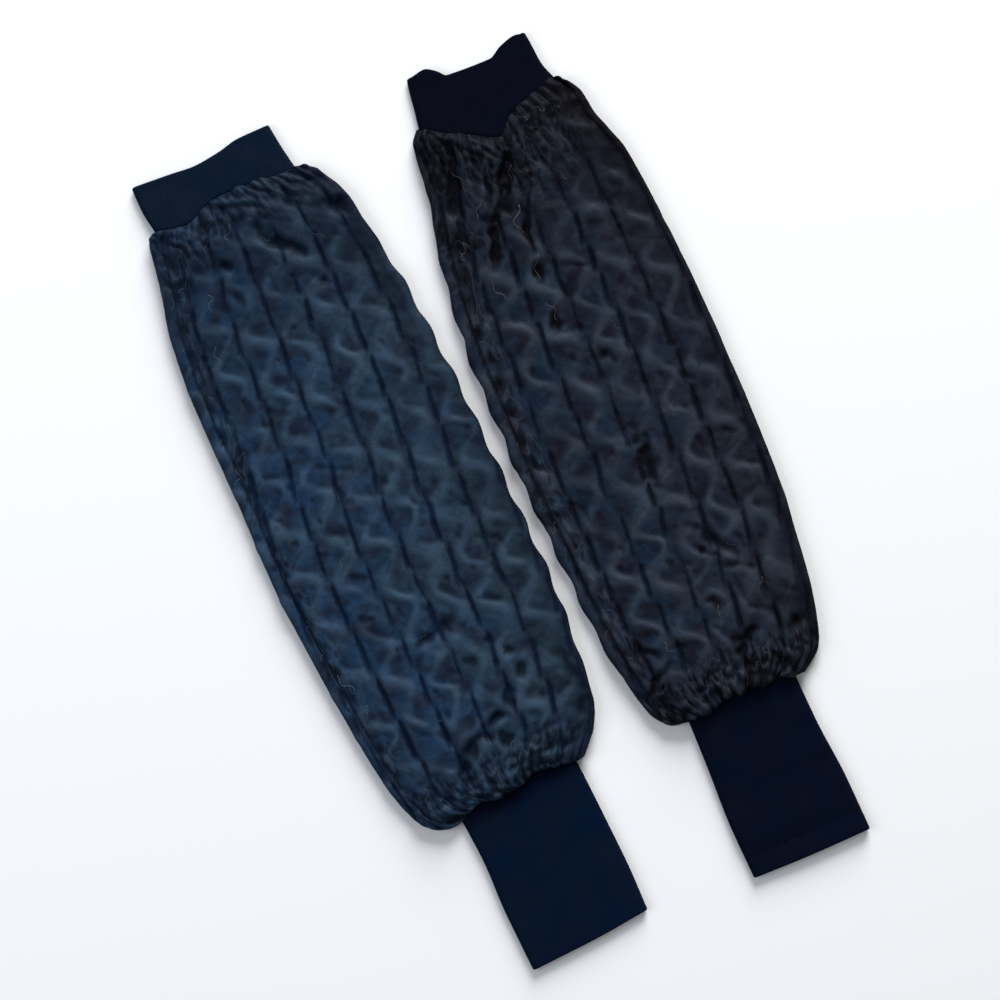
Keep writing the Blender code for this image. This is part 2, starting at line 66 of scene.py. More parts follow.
rightRows = (
    (-0.1490, -0.0347, 0.0316, 0.0053, 0.0052, 0.0000, -0.20),
    (-0.1478, -0.0400, 0.0348, 0.0084, 0.0060, 0.0034, -0.20),
    (-0.1456, -0.0446, 0.0404, 0.0112, 0.0070, 0.0040, -0.20),
    (-0.1420, -0.0500, 0.0474, 0.0123, 0.0075, 0.0026, -0.20),
    (-0.1370, -0.0538, 0.0523, 0.0127, 0.0077, 0.0010, -0.20),
    (-0.1200, -0.0580, 0.0577, 0.0124, 0.0074, 0.0000, -0.21),
    (-0.0900, -0.0629, 0.0627, 0.0112, 0.0068, 0.0000, -0.22),
    (-0.0400, -0.0656, 0.0677, 0.0098, 0.0064, 0.0000, -0.20),
    (0.0180, -0.0677, 0.0691, 0.0092, 0.0064, 0.0000, -0.17),
    (0.0720, -0.0679, 0.0684, 0.0094, 0.0064, 0.0000, -0.12),
    (0.1260, -0.0635, 0.0657, 0.0104, 0.0068, 0.0000, -0.15),
    (0.1620, -0.0566, 0.0622, 0.0118, 0.0072, 0.0000, -0.20),
    (0.1760, -0.0521, 0.0573, 0.0119, 0.0074, 0.0000, -0.22),
    (0.1860, -0.0511, 0.0538, 0.0123, 0.0075, 0.0000, -0.24),
    (0.1980, -0.0497, 0.0520, 0.0124, 0.0075, -0.0006, -0.24),
    (0.2045, -0.0476, 0.0480, 0.0119, 0.0072, -0.0020, -0.24),
    (0.2088, -0.0442, 0.0430, 0.0094, 0.0062, -0.0024, -0.24),
    (0.2110, -0.0420, 0.0412, 0.0053, 0.0052, 0.0000, -0.24),
)

# creases: points (x, y) along each, then depth and half width; a negative depth is a ridge
leftCreases = (
    (((-0.030, -0.145), (-0.024, -0.134), (-0.017, -0.126), (-0.008, -0.118)), 0.0022, 0.0034),
    (((-0.012, -0.121), (-0.006, -0.1185), (-0.001, -0.1195)), 0.0026, 0.0036),
    (((0.003, -0.1150), (0.009, -0.1125), (0.013, -0.1130)), 0.0027, 0.0036),
    (((0.014, -0.1085), (0.020, -0.1050), (0.021, -0.1005)), 0.0024, 0.0034),
    (((-0.010, -0.113), (0.002, -0.1095), (0.009, -0.106)), -0.0012, 0.0034),
    (((0.005, -0.121), (0.008, -0.129)), 0.0030, 0.0034),
    (((0.016, -0.131), (0.036, -0.129)), 0.0014, 0.0026),
    (((-0.020, -0.066), (-0.013, -0.056), (-0.003, -0.0515), (0.006, -0.052), (0.014, -0.058)),
     0.0019, 0.0040),
    (((0.029, -0.079), (0.033, -0.084)), 0.0020, 0.0028),
    (((0.031, -0.090), (0.034, -0.097)), 0.0028, 0.0030),
    (((0.052, 0.195), (0.056, 0.190), (0.060, 0.184)), 0.0026, 0.0036),
    (((0.038, 0.206), (0.050, 0.199), (0.062, 0.193)), -0.0012, 0.0034),
    (((0.010, 0.198), (0.012, 0.188), (0.020, 0.182), (0.026, 0.174)), 0.0032, 0.0034),
    (((-0.020, 0.190), (-0.014, 0.182)), 0.0024, 0.0030),
    (((-0.046, 0.188), (-0.042, 0.182), (-0.036, 0.190)), 0.0018, 0.0030),
    (((-0.020, 0.170), (-0.017, 0.164)), 0.0018, 0.0028),
    (((0.028, 0.158), (0.032, 0.152)), 0.0020, 0.0028),
    (((0.055, -0.095), (0.060, -0.112), (0.061, -0.128)), 0.0018, 0.0040),
    (((0.050, -0.131), (0.057, -0.124)), 0.0020, 0.0034),
)
rightCreases = (
    (((-0.029, 0.203), (-0.034, 0.190), (-0.042, 0.168)), 0.0044, 0.0034),
    (((-0.003, 0.184), (-0.009, 0.172), (-0.016, 0.158)), 0.0044, 0.0032),
    (((-0.012, 0.192), (-0.021, 0.176), (-0.031, 0.158), (-0.036, 0.150)), -0.0014, 0.0030),
    (((-0.048, 0.150), (-0.052, 0.144)), 0.0022, 0.0030),
    (((-0.023, 0.156), (-0.026, 0.146), (-0.029, 0.136)), 0.0038, 0.0028),
    (((-0.029, 0.137), (-0.033, 0.131)), 0.0030, 0.0032),
    (((-0.005, 0.154), (-0.009, 0.142), (-0.009, 0.130)), 0.0034, 0.0026),
    (((-0.011, 0.122), (-0.013, 0.113)), 0.0030, 0.0028),
    (((-0.013, 0.090), (-0.016, 0.084)), 0.0032, 0.0034),
    (((0.003, 0.062), (0.006, 0.059)), 0.0022, 0.0028),
    (((0.002, 0.016), (0.004, 0.000), (0.002, -0.020)), 0.0022, 0.0042),
    (((0.010, -0.048), (0.018, -0.058), (0.027, -0.071)), 0.0018, 0.0030),
    (((0.009, -0.063), (0.012, -0.067)), 0.0026, 0.0030),
    (((0.018, -0.078), (0.026, -0.077), (0.035, -0.087)), 0.0016, 0.0030),
    (((0.002, -0.088), (0.008, -0.097)), 0.0022, 0.0030),
    (((0.026, -0.112), (0.017, -0.117), (0.010, -0.124)), 0.0022, 0.0032),
    (((0.008, -0.116), (0.009, -0.128), (0.009, -0.142)), 0.0018, 0.0030),
    (((-0.052, -0.131), (-0.043, -0.123), (-0.032, -0.117)), 0.0018, 0.0028),
    (((-0.044, -0.103), (-0.036, -0.110)), 0.0018, 0.0026),
    (((0.040, -0.126), (0.048, -0.121)), 0.0022, 0.0034),
)
# on the lower layer, seen from above through the upper one
leftUnderCreases = (
    (((-0.040, -0.140), (-0.022, -0.124), (0.002, -0.118)), 0.0014, 0.0032),
    (((0.020, -0.138), (0.034, -0.116)), 0.0012, 0.0030),
    (((-0.030, -0.040), (0.004, -0.032), (0.030, -0.044)), 0.0008, 0.0036),
    (((-0.018, 0.078), (0.016, 0.092)), 0.0007, 0.0034),
    (((-0.034, 0.196), (-0.022, 0.170)), 0.0014, 0.0030),
    (((0.012, 0.204), (0.030, 0.176)), 0.0013, 0.0032),
)
rightUnderCreases = (
    (((-0.026, 0.186), (-0.014, 0.158), (-0.016, 0.140)), 0.0014, 0.0030),
    (((0.026, 0.192), (0.034, 0.168)), 0.0012, 0.0032),
    (((-0.030, 0.030), (0.000, 0.020), (0.026, 0.030)), 0.0008, 0.0036),
    (((-0.006, -0.070), (0.022, -0.060)), 0.0007, 0.0034),
    (((-0.034, -0.128), (-0.010, -0.112)), 0.0013, 0.0030),
    (((0.014, -0.134), (0.030, -0.110)), 0.0013, 0.0032),
)

# the size of each cuff's cut that shows, where it is sewn on and the line of its free end,
# as (across, y) from edge to edge, and its edges as (y, left, right) from the seam outwards
# the four looks are copies of one knit, each painted lighter or darker for the light that falls on
# that cuff
leftWrist = {
    "cut": (0.148, 0.098),
    "look": {"cool": "#02142A", "grey": "#0A1525", "deep": "#020618",
             "rough": 0.85, "specular": 0.03},
    "shaded": 0.95,  # how dark the painted shadow of the body's overhang is on the knit beside the seam
    "ripples": 1.0,
    "line": None,  # of a faint pressed line, from the free end
    "seam": ((-1.0, -0.1550), (-0.6, -0.1515), (-0.1, -0.1540), (0.35, -0.1500),
             (0.7, -0.1515), (1.0, -0.1524)),
    "edges": ((-0.1530, -0.0364, 0.0374), (-0.1800, -0.0356, 0.0378),
              (-0.2160, -0.0374, 0.0378), (-0.2505, -0.0375, 0.0363)),
    "end": ((-1.0, -0.2508), (0.0, -0.2505), (1.0, -0.2486)),
}
leftUpper = {
    "cut": (0.174, 0.030),
    "look": {"cool": "#061829", "grey": "#101A29", "deep": "#03091A",
             "rough": 0.85, "specular": 0.03},
    "shaded": 0.0,
    "ripples": 1.0,
    "line": None,
    "seam": ((-1.0, 0.2220), (-0.6, 0.2180), (-0.1, 0.2246), (0.3, 0.2236), (1.0, 0.2195)),
    "edges": ((0.2215, -0.0446, 0.0437), (0.2350, -0.0461, 0.0418), (0.2490, -0.0455, 0.0405)),
    "end": ((-1.0, 0.2506), (-0.5, 0.2482), (-0.1, 0.2462), (0.25, 0.2472), (0.6, 0.2493),
            (1.0, 0.2488)),
}
rightWrist = {
    "cut": (0.142, 0.100),
    "look": {"cool": "#030D20", "grey": "#0A0D1C", "deep": "#02040D",
             "rough": 0.85, "specular": 0.03},
    "shaded": 0.0,
    "ripples": 2.2,
    "line": 0.0120,
    "seam": ((-1.0, -0.1490), (-0.6, -0.1510), (-0.2, -0.1475), (0.3, -0.1485),
             (1.0, -0.1490)),
    "edges": ((-0.1490, -0.0347, 0.0316), (-0.1800, -0.0354, 0.0325),
              (-0.2160, -0.0367, 0.0353), (-0.2490, -0.0359, 0.0361)),
    "end": ((-1.0, -0.2485), (0.0, -0.2491), (1.0, -0.2487)),
}
rightUpper = {
    "cut": (0.158, 0.036),
    "look": {"cool": "#050A17", "grey": "#090917", "deep": "#020309",
             "rough": 0.85, "specular": 0.03},
    "shaded": 0.0,
    "ripples": 1.0,
    "line": None,
    "seam": ((-1.0, 0.2190), (-0.7, 0.2110), (-0.35, 0.2040), (0.0, 0.1975), (0.25, 0.2065),
             (0.55, 0.2115), (1.0, 0.2150)),
    "edges": ((0.2110, -0.0420, 0.0412), (0.2250, -0.0400, 0.0372), (0.2400, -0.0382, 0.0361),
              (0.2470, -0.0370, 0.0353)),
    "end": ((-1.0, 0.2484), (-0.75, 0.2498), (-0.56, 0.2462), (-0.42, 0.2416),
            (0.35, 0.2404), (0.6, 0.2446), (0.9, 0.2472), (1.0, 0.2466)),
}

leftSleeve = {
    "name": "left",
    "cut": (0.290, 0.378),  # of the quilted cloth, along the sleeve and round it
    "place": (-0.071927, 0.004544),  # of the sleeve's frame in the pair's
    "lean": math.radians(1.45),
    "rows": leftRows,
    "wrist": leftWrist,
    "upper": leftUpper,
    "creases": leftCreases,
    "underCreases": leftUnderCreases,
    "wave": 0.0300,  # length of one sway of a winding ridge
    "phase": 0.0125,
    "channels": 6.50,  # between the grooves, across the front
    "paintedShade": (0.52, 0.22),  # how much painted shade darkens it towards the upper-arm end and the wrist end
    "gathered": (1.0, 1.0),  # how high the folds are at the wrist seam and the upper one
    "crumpled": (0.032, 0.034),  # how far the crumples' painted pits of shade and squiggles of highlight reach from each
    "scalloped": 1,  # the edge that swells and dips, 1 is the right one
    "bulge": 0.0135,
    "seed": 11,
}
rightSleeve = {
    "name": "right",
    "cut": (0.275, 0.368),
    "place": (0.075473, -0.004856),
    "lean": -math.radians(1.45),
    "rows": rightRows,
    "wrist": rightWrist,
    "upper": rightUpper,
    "creases": rightCreases,
    "underCreases": rightUnderCreases,
    "wave": 0.0305,
    "phase": 0.0220,
    "channels": 6.27,
    "paintedShade": (0.66, 0.27),
    "gathered": (1.0, 1.35),
    "crumpled": (0.036, 0.080),
    "scalloped": -1,
    "bulge": 0.0240,
    "seed": 47,
}


def smoothCurve(places, values, at):  # through all the values, never past two neighbours
    places, values = np.asarray(places, float), np.asarray(values, float)
    at = np.clip(at, places[0], places[-1])
    slopes = np.diff(values) / np.diff(places)
    product, total = slopes[:-1] * slopes[1:], slopes[:-1] + slopes[1:]
    bends = np.concatenate((slopes[:1], np.zeros(len(product)), slopes[-1:]))
    bends[1:-1] = np.where(product > 0, 2 * product / np.where(product > 0, total, 1), 0)
    i = np.clip(np.searchsorted(places, at) - 1, 0, len(slopes) - 1)
    step = places[i + 1] - places[i]
    t = (at - places[i]) / step
    start = (1 + 2 * t) * (1 - t) ** 2 * values[i] + t * (1 - t) ** 2 * step * bends[i]
    end = t * t * (3 - 2 * t) * values[i + 1] + t * t * (t - 1) * step * bends[i + 1]
    return start + end


def readTable(names, rows, at):  # each column of a table at any place
    columns = np.array(sorted(rows)).T
    return {name: smoothCurve(columns[0], column, at) for name, column in zip(names, columns)}


def alongLine(marks, across):
    return smoothCurve([m[0] for m in marks], [m[1] for m in marks], across)


def fade(distance, reach):  # 1 at no distance, easing to 0 at the reach
    t = np.clip(distance / reach, 0, 1)
    return (1 - t) ** 2 * (1 + 2 * t)


def uneven(seed, x, y):  # smooth seeded swells from -1 to 1, one to a unit
    count = 97
    table = np.random.default_rng(seed).uniform(-1, 1, (count, count))
    x, y = np.broadcast_arrays(x, y)
    i, j = np.floor(x).astype(int), np.floor(y).astype(int)
    u, v = x - i, y - j
    u, v = u * u * (3 - 2 * u), v * v * (3 - 2 * v)
    i, j, after, above = i % count, j % count, (i + 1) % count, (j + 1) % count
    low = table[i, j] * (1 - u) + table[after, j] * u
    high = table[i, above] * (1 - u) + table[after, above] * u
    return low * (1 - v) + high * v


body = {  # the quilted tube, which is one closed wall
    "smoothPitch": 0.0223,  # a channel's width where the cloth lies smooth
    "rowStep": 0.00125,
    "seamRows": (0.0, 0.00015, 0.00045, 0.0009, 0.0014, 0.0020, 0.0027, 0.0035, 0.0044, 0.0054,
                 0.0065, 0.0077, 0.0089, 0.0101),  # closer rings beside a seam
    "columnsAChannel": 24,
    "fineChannels": 4,  # to either side of the middle, past the folds
    "insideEvery": (4, 8),  # columns and rows of the outside to one of the plain inside
    "bulgePower": 2.2,
    "seamReach": (0.045, 0.070),  # how far the wrist seam's line and the upper one's are felt
    "rimRadius": 0.0009,
    "sideWall": 0.0030,
    "slit": 0.0036,
    "slitAtFold": 0.0011,
    "slitReach": 0.025,  # from a seam to where the slit is that high
    "lowerShare": 0.45,  # of what the slit leaves of the height, in the lower layer
    "lowerReach": 0.060,
    "thinnest": (0.0009, 0.0016),  # wall over the slit, in the body and at the seams
    "softly": 0.0005,  # how gradually that holds up a crease
    "flattened": (0.0007, 0.55, 0.0015),  # the lower layer lies on its ridges: even, share, most
    "roundFold": 0.10,  # share of the relief that goes round the folds
    "underLeast": (0.25, 0.0001),  # share of the lower layer that its creases leave
    "lip": (0.0018, 0.0030, 0.0046),  # the gathers lean out over the cuff: even, uneven, width
    "lipReach": (0.007, 0.004),  # along and up
    "scallop": 0.0010,
    "scallopStart": 0.100,
}


def folded(ring):  # adds the folds' radius, the middle, and the way from it to a fold
    ring["radius"] = ring["fold"] / 2
    ring["middle"] = (ring["right"] + ring["left"]) / 2
    ring["flat"] = (ring["right"] - ring["left"]) / 2 - ring["radius"]
    return ring


def ringAt(sleeve, y):  # the body's section at y, and how wide a channel is round it
    ring = folded(readTable(rowColumns, sleeve["rows"], y))
    ring["pitch"] = 2 * (ring["flat"] + ring["radius"] * math.pi / 2) / sleeve["channels"]
    return ring


def roundTube(ring, around):  # side, share out to a fold, turn round it, share back under
    side, reach = np.where(around < 0, -1.0, 1.0), np.abs(around)
    share = np.clip(reach / ring["flat"], 0, 1)
    turn = np.clip((reach - ring["flat"]) / ring["radius"], 0, math.pi)
    under = np.clip((reach - ring["flat"] - ring["radius"] * math.pi) / ring["flat"], 0, 1)
    return side, share, turn, under


def onSection(ring, around):  # x, z, the normal's x and z, share across from -1 to 1
    side, share, turn, under = roundTube(ring, around)
    crown = (ring["top"] - ring["fold"]) * (1 - share ** body["bulgePower"])
    x = ring["middle"] + side * (ring["flat"] * (share - under) + ring["radius"] * np.sin(turn))
    z = ring["radius"] * (1 + np.cos(turn)) + crown
    return x, z, side * np.sin(turn), np.cos(turn), side * np.where(under > 0, 1 - under, share)


def onSlit(ring, around, low, slit, slitAtFold, wall):  # the plain inside, by the same places
    side, share, turn, under = roundTube(ring, around)
    inside = ring["flat"] + ring["radius"] - wall - slitAtFold / 2
    x = ring["middle"] + side * (inside * (share - under) + slitAtFold / 2 * np.sin(turn))
    z = low + slitAtFold / 2 * (1 + np.cos(turn)) + (slit - slitAtFold) * (1 - share ** 2)
    return x, z, side * np.where(under > 0, 1 - under, share)


def onSeam(marks, across, up):  # the lower layer's seam runs straight from edge to edge
    straight = marks[0][1] + (marks[-1][1] - marks[0][1]) * (1 + across) / 2
    return np.where(up > 0, alongLine(marks, across), straight)


def seamShift(sleeve, ring, across, up):  # how far a ring is carried along by the seams' lines
    shift = -ring["sag"] * np.abs(across) ** 3 * np.minimum(1, 1 + up)
    for end, row, reach in zip(("wrist", "upper"), (0, -1), body["seamReach"]):
        at = sleeve["rows"][row][0]
        line = onSeam(sleeve[end]["seam"], across, up)
        shift = shift + (line - at) * fade(np.abs(ring["y"] - at), reach)
    return shift


def fromEnds(sleeve, y):  # how far it is to the wrist seam, to the upper one and to the nearer
    fromWrist, fromUpper = y - sleeve["rows"][0][0], sleeve["rows"][-1][0] - y
    return fromWrist, fromUpper, np.minimum(fromWrist, fromUpper)


creaseEdges = {  # a crease is ragged, and shallower towards its ends
    "sway": (0.0016, 0.0060),  # how far it strays, and the length of one sway
    "depth": (0.45, 0.0042),  # how uneven that is, and the length of a swell
    "ends": (0.55, 0.60),  # share of the depth there, and what it gains in the middle
}


def fromLine(x, y, points):  # distance to a line of points, and the share of the way along it
    nearest, along = np.full(x.shape, 1.0), np.zeros(x.shape)
    for number, ((x0, y0), (x1, y1)) in enumerate(zip(points, points[1:])):
        runX, runY = x1 - x0, y1 - y0
        t = np.clip(((x - x0) * runX + (y - y0) * runY) / (runX ** 2 + runY ** 2), 0, 1)
        distance = np.hypot(x - x0 - t * runX, y - y0 - t * runY)
        along = np.where(distance < nearest, (number + t) / (len(points) - 1), along)
        nearest = np.minimum(nearest, distance)
    return nearest, along


def pressedBy(creases, seed, x, y):
    sway, size = creaseEdges["sway"]
    x, y = (x + sway * uneven(seed + 30, x / size, y / size),
            y + sway * uneven(seed + 31, x / size, y / size))
    share, size = creaseEdges["depth"]
    fullness = 1 + share * uneven(seed + 32, x / size, y / size)
    atEnds, inMiddle = creaseEdges["ends"]
    depth = np.zeros(x.shape)
    for points, deep, width in creases:
        distance, along = fromLine(x, y, points)
        pressed = atEnds + inMiddle * np.sin(math.pi * along)
        depth += deep * pressed * np.exp(-(distance / width) ** 2)
    return depth * fullness


gathers = {  # rounded folds with sharp valleys, running from each cuff seam
    "folds": 2.8,  # to a channel
    "rise": 0.0018,
    "sizes": (0.45, 1.15),  # share of that rise, from the smallest fold to the largest
    "reach": (0.012, 0.052),  # of the shortest and the longest
    "wander": (1.05, 0.016, 0.020),  # off straight, the length of a sway, and where it is full
    "stretch": 0.5,  # how uneven the folds' widths are
    "hump": 0.75,  # lower is rounder
    "start": 0.0030,  # the seam's own flat strip
    "meanShare": 0.42,  # the folds' mean height, taken off so that the body keeps its own
    "meanReach": 0.034,
    "calm": (0.50, 0.040),  # how much flatter the quilting is beside a seam, and how far
}


def gatherFolds(sleeve, y, q, atEnd):
    distance = fromEnds(sleeve, y)[atEnd]
    seed, tall, kinds = sleeve["seed"] + 100 * atEnd, sleeve["gathered"][atEnd], 64
    wander, sway, full = gathers["wander"]
    wander = wander * uneven(seed, q * 1.3, distance / sway) * np.clip(distance / full, 0, 1)
    stretch = gathers["stretch"] * uneven(seed + 1, q * gathers["folds"] * 0.7, 0.5)
    place = q * gathers["folds"] + wander + stretch
    index = np.floor(place).astype(int)
    drawn = (np.random.default_rng(seed + number).uniform(*gathers[word], kinds)
             for number, word in ((2, "sizes"), (3, "reach")))
    size, reach = (values[index % kinds] for values in drawn)
    hump = np.sin(math.pi * (place - index)) ** gathers["hump"]
    mean = gathers["meanShare"] * fade(distance, gathers["meanReach"] * tall)
    return gathers["rise"] * tall * (size * fade(distance, reach * tall) * hump - mean)


quilt = {  # stitched grooves along the arm, and a ridge that winds down between each two
    # three numbers are a size, how uneven it is, and the length of a swell in it
    "grooveDepth": 0.0013,
    "grooveWidth": (0.00072, 0.00060),  # and how much wider in a strong run
    "shoulder": (0.0030, 0.0004),  # reach and depth of the cloth drawn down beside a groove
    "waver": (0.0008, 0.011),  # of a groove off its line, and the length of one
    "dashSpan": 0.052,  # a groove is two rows of stitched runs, one past the other's end
    "dashShift": 0.37,  # of a span, from one line to the next
    "dashUneven": (0.25, 0.045),  # of a span, and over what length
    "dashSize": (0.80, 0.45),  # even and uneven
    "dashLean": (0.105, 0.6),  # slope of a run off its line, and how uneven it is
    "dashEnds": (0.07, 0.06, 0.16),  # half of the tight stretch, more in a big run, then loosening
    "dashDepth": 1.15,
    "puff": (0.060, 0.5, 0.012),  # height of the cloth between two lines to its width
    "ridgeRise": 0.0015,
    "ridgeWidth": (0.0026, 0.55, 0.008),
    "ridgeLight": 1.75,  # how much wider its pale band of painted highlight is
    "ridgeFresh": (0.88, 0.52, 0.0085),
    "ridgeFall": (0.88, 0.24),  # fuller where it runs down to the right
    "swing": (0.0055, 0.18, 0.030),
    "pastFold": 0.012,  # on the lower layer it swings in full again
    "turn": (0.7, 0.030),  # how far out of step, in radians
    "wander": ((6, 5.1, 0.0013, 0.0085), (22, 3.3, 0.00052, 0.0042)),  # seed, apart, off, length
    "tuck": (0.00022, 0.0040),  # short ones across, and how far they reach beside a groove
    "tuckSize": (0.0060, 0.0032, 0.4),  # across, along, and how far they lean
}
# below, a bare factor of a line's or a channel's number only keeps neighbours from being alike


def stitchedRuns(sleeve, y, line):  # how far each run is off its line, and how strong it is there
    seed, span, runs = sleeve["seed"], quilt["dashSpan"], []
    uneasy, length = quilt["dashUneven"]
    evenSize, unevenSize = quilt["dashSize"]
    slope, unevenSlope = quilt["dashLean"]
    tight, tighter, loosening = quilt["dashEnds"]
    for row in (0, 1):
        place = y / span + quilt["dashShift"] * line + 0.5 * row
        place = place + uneasy * uneven(seed + 4, line * 3.7, y / length)
        number = np.round(place)
        fromMiddle = place - number
        size = evenSize + unevenSize * uneven(seed + 5 + 20 * row, line * 3.3, number * 0.77)
        lean = slope * (1 + unevenSlope * uneven(seed + 20 + row, line * 1.9, number * 1.3))
        ends = fade(np.clip(np.abs(fromMiddle) - tight - tighter * size, 0, 1), loosening)
        runs.append((lean * fromMiddle * span, quilt["dashDepth"] * size * ends))
    return runs


def grooves(sleeve, ring, y, q):  # how deep in a groove, in the cloth beside it, and tucked
    seed, line = sleeve["seed"], np.round(q)
    waver, length = quilt["waver"]
    beside = (q - line) * ring["pitch"] + waver * uneven(seed + 24, line * 2.3, y / length)
    narrow = np.zeros(np.broadcast(y, q).shape)
    thin, wider = quilt["grooveWidth"]
    for offset, strength in stitchedRuns(sleeve, y, line):
        width = thin + wider * strength
        narrow = np.maximum(narrow, np.exp(-((beside - offset) / width) ** 2) * strength)
    broad = np.exp(-(beside / quilt["shoulder"][0]) ** 2)
    across, along, lean = quilt["tuckSize"]
    leaning = y + lean * (q - np.floor(q)) * ring["pitch"]
    tucks = uneven(seed + 17, q * ring["pitch"] / across, leaning / along)
    return narrow, broad, tucks * np.exp(-np.abs(beside) / quilt["tuck"][1])


def windingRidges(sleeve, ring, y, q):  # a ridge's height and its painted highlight, and the puffs beside it
    seed, wave, pitch, flat = sleeve["seed"], sleeve["wave"], ring["pitch"], ring["flat"]
    index = np.floor(q)
    swing, unevenSwing, swingLength = quilt["swing"]
    outOfStep, turnLength = quilt["turn"]
    turn = 2 * math.pi * (y - sleeve["phase"] - (index % 2) * wave / 2) / wave
    turn = turn + outOfStep * uneven(seed + 13, index * 2.9, y / turnLength)
    outward = np.abs(index + 0.5 + ring["drift"]) * pitch
    held = np.clip((flat - outward) / swing, 0, 1)  # it runs straighter beside a fold
    swing = swing * np.where(outward > flat + quilt["pastFold"], 1, held)
    swing = swing * (1 + unevenSwing * uneven(seed + 14, index * 6.1, y / swingLength))
    slope = swing * 2 * math.pi / wave * np.sin(turn)
    crest = 0.5 * pitch + swing * np.cos(turn)
    for number, apart, wander, length in quilt["wander"]:
        crest = crest + wander * uneven(seed + number, index * apart, y / length)
    place = (q - index) * pitch
    off = (place - crest) / np.sqrt(1 + slope ** 2)
    mean, unevenly, length = quilt["ridgeFresh"]
    fresh = np.clip(mean + unevenly * uneven(seed + 7, index * 4.7 + q, y / length), 0.1, 1.3)
    mean, falling = quilt["ridgeFall"]
    fresh = fresh * (mean + falling * np.sin(turn))
    width, unevenly, length = quilt["ridgeWidth"]
    width = width * (1 + unevenly * uneven(seed + 15, index * 7.7, y / length))
    ridge, light = (np.exp(-(off / w) ** 2) * fresh for w in (width, quilt["ridgeLight"] * width))
    room = np.where(place < crest, crest, pitch - crest)
    share = np.clip(np.where(place < crest, place, place - crest) / room, 0, 1)
    puff, unevenly, length = quilt["puff"]
    full = 1 + unevenly * uneven(seed + 16, q * 2.0, y / length)
    return ridge, light, puff * room * full * (4 * share * (1 - share)) ** 0.7


longSeam = {  # closes the tube, round from the left edge
    "inFromEdge": 0.0090,
    "line": (0.0007, 0.0012),  # width and depth
    "pitPitch": 0.0165,
    "pitUneven": (0.25, 0.03),  # of the pitch, and over what length
    "pitLength": 0.26,  # of the pitch
    "pitSize": (0.7, 0.5),  # even and uneven
    "pitBeside": (0.0022, 0.0026),  # how far beside the line, and how wide
    "pitDepth": 0.0014,
}


def lengthwiseSeam(sleeve, y, beside):  # its pressed line, and the pits in a row beside it
    seed = sleeve["seed"]
    unevenly, length = longSeam["pitUneven"]
    run = y / longSeam["pitPitch"] + unevenly * uneven(seed + 8, y / length, 0.5)
    evenSize, unevenSize = longSeam["pitSize"]
    size = evenSize + unevenSize * uneven(seed + 9, np.round(run) * 1.7, 0.5)
    away, width = longSeam["pitBeside"]
    pits = size * np.exp(-((run - np.round(run)) / longSeam["pitLength"]) ** 2)
    pits = pits * np.exp(-((beside - away) / width) ** 2)
    return np.exp(-(beside / longSeam["line"][0]) ** 2), pits


crinkle = {  # heights of the cloth's own unevenness
    "wrinkle": (0.00034, 0.5),  # and how much more beside the cuff seams
    "wrinkles": ((10, 0.70, 0.0058, 0.0050), (11, 0.40, 0.0029, 0.0034)),  # seed, share, sizes
    "pock": 0.0007,  # small dents scattered over the cloth
    "pockSize": (0.0054, 0.0066),
    "pocksFrom": (0.50, 0.4, 1.5),  # where a swell turns into a dent, how soon, how sharply
    "swell": (0.0008, 0.021, 0.026),  # height, width, length
    "crumple": (0.0028, 0.032),  # and its reach from the cuff seams
    "crumples": ((18, 1.0, 0, 0.0042, 0.0056), (19, 0.8, 1, 0.0078, 0.0066)),  # and lean
    "crumpleMean": 0.58,
}


def raisedCloth(sleeve, ring, y, q, around):  # height over the plain tube, and what colours need
    seed, pitch, nearest = sleeve["seed"], ring["pitch"], fromEnds(sleeve, y)[2]
    seamAt = -(ring["flat"] + ring["radius"] * math.pi / 2) + longSeam["inFromEdge"]
    besideSeam = around - seamAt
    cut = np.where(besideSeam < 0, q + 2 * sleeve["channels"], q)  # the cloth ends at its seam
    narrow, broad, tucks = grooves(sleeve, ring, y, cut)
    ridge, light, puff = windingRidges(sleeve, ring, y, cut)
    seamLine, seamPits = lengthwiseSeam(sleeve, y, besideSeam)
    calmer, reach = gathers["calm"]
    gathered = fade(nearest, reach)
    calm = 1 - calmer * gathered
    relief = calm * (quilt["ridgeRise"] * ridge + puff - quilt["grooveDepth"] * narrow
                     - quilt["shoulder"][1] * broad + quilt["tuck"][0] * tucks)
    relief = relief + gatherFolds(sleeve, y, q, 0) + gatherFolds(sleeve, y, q, 1)

    across, run = cut * pitch, y + 0.5 * cut * pitch
    wrinkles = sum(share * uneven(seed + number, across / wide, run / long)
                   for number, share, wide, long in crinkle["wrinkles"])
    rise, beside = crinkle["wrinkle"]
    relief = relief + rise * wrinkles * (1 + beside * gathered)
    wide, long = crinkle["pockSize"]
    start, soon, sharply = crinkle["pocksFrom"]
    pocks = np.clip((uneven(seed + 21, across / wide, run / long) - start) / soon, 0, 1) ** sharply
    swell, wide, long = crinkle["swell"]
    relief = relief - crinkle["pock"] * pocks
    relief = relief + swell * uneven(seed + 12, q * pitch / wide, y / long)
    crumples = sum(share * np.abs(uneven(seed + number, (q * pitch + lean * y) / wide, y / long))
                   for number, share, lean, wide, long in crinkle["crumples"])
    rise, reach = crinkle["crumple"]
    relief = relief + rise * (crumples - crinkle["crumpleMean"]) * fade(nearest, reach)
    relief = relief - longSeam["line"][1] * seamLine - longSeam["pitDepth"] * seamPits
    return relief, {"narrow": calm * narrow, "light": calm * light, "pocks": pocks,
                    "gathered": gathered, "seamLine": seamLine, "seamPits": seamPits,
                    "besideSeam": besideSeam}


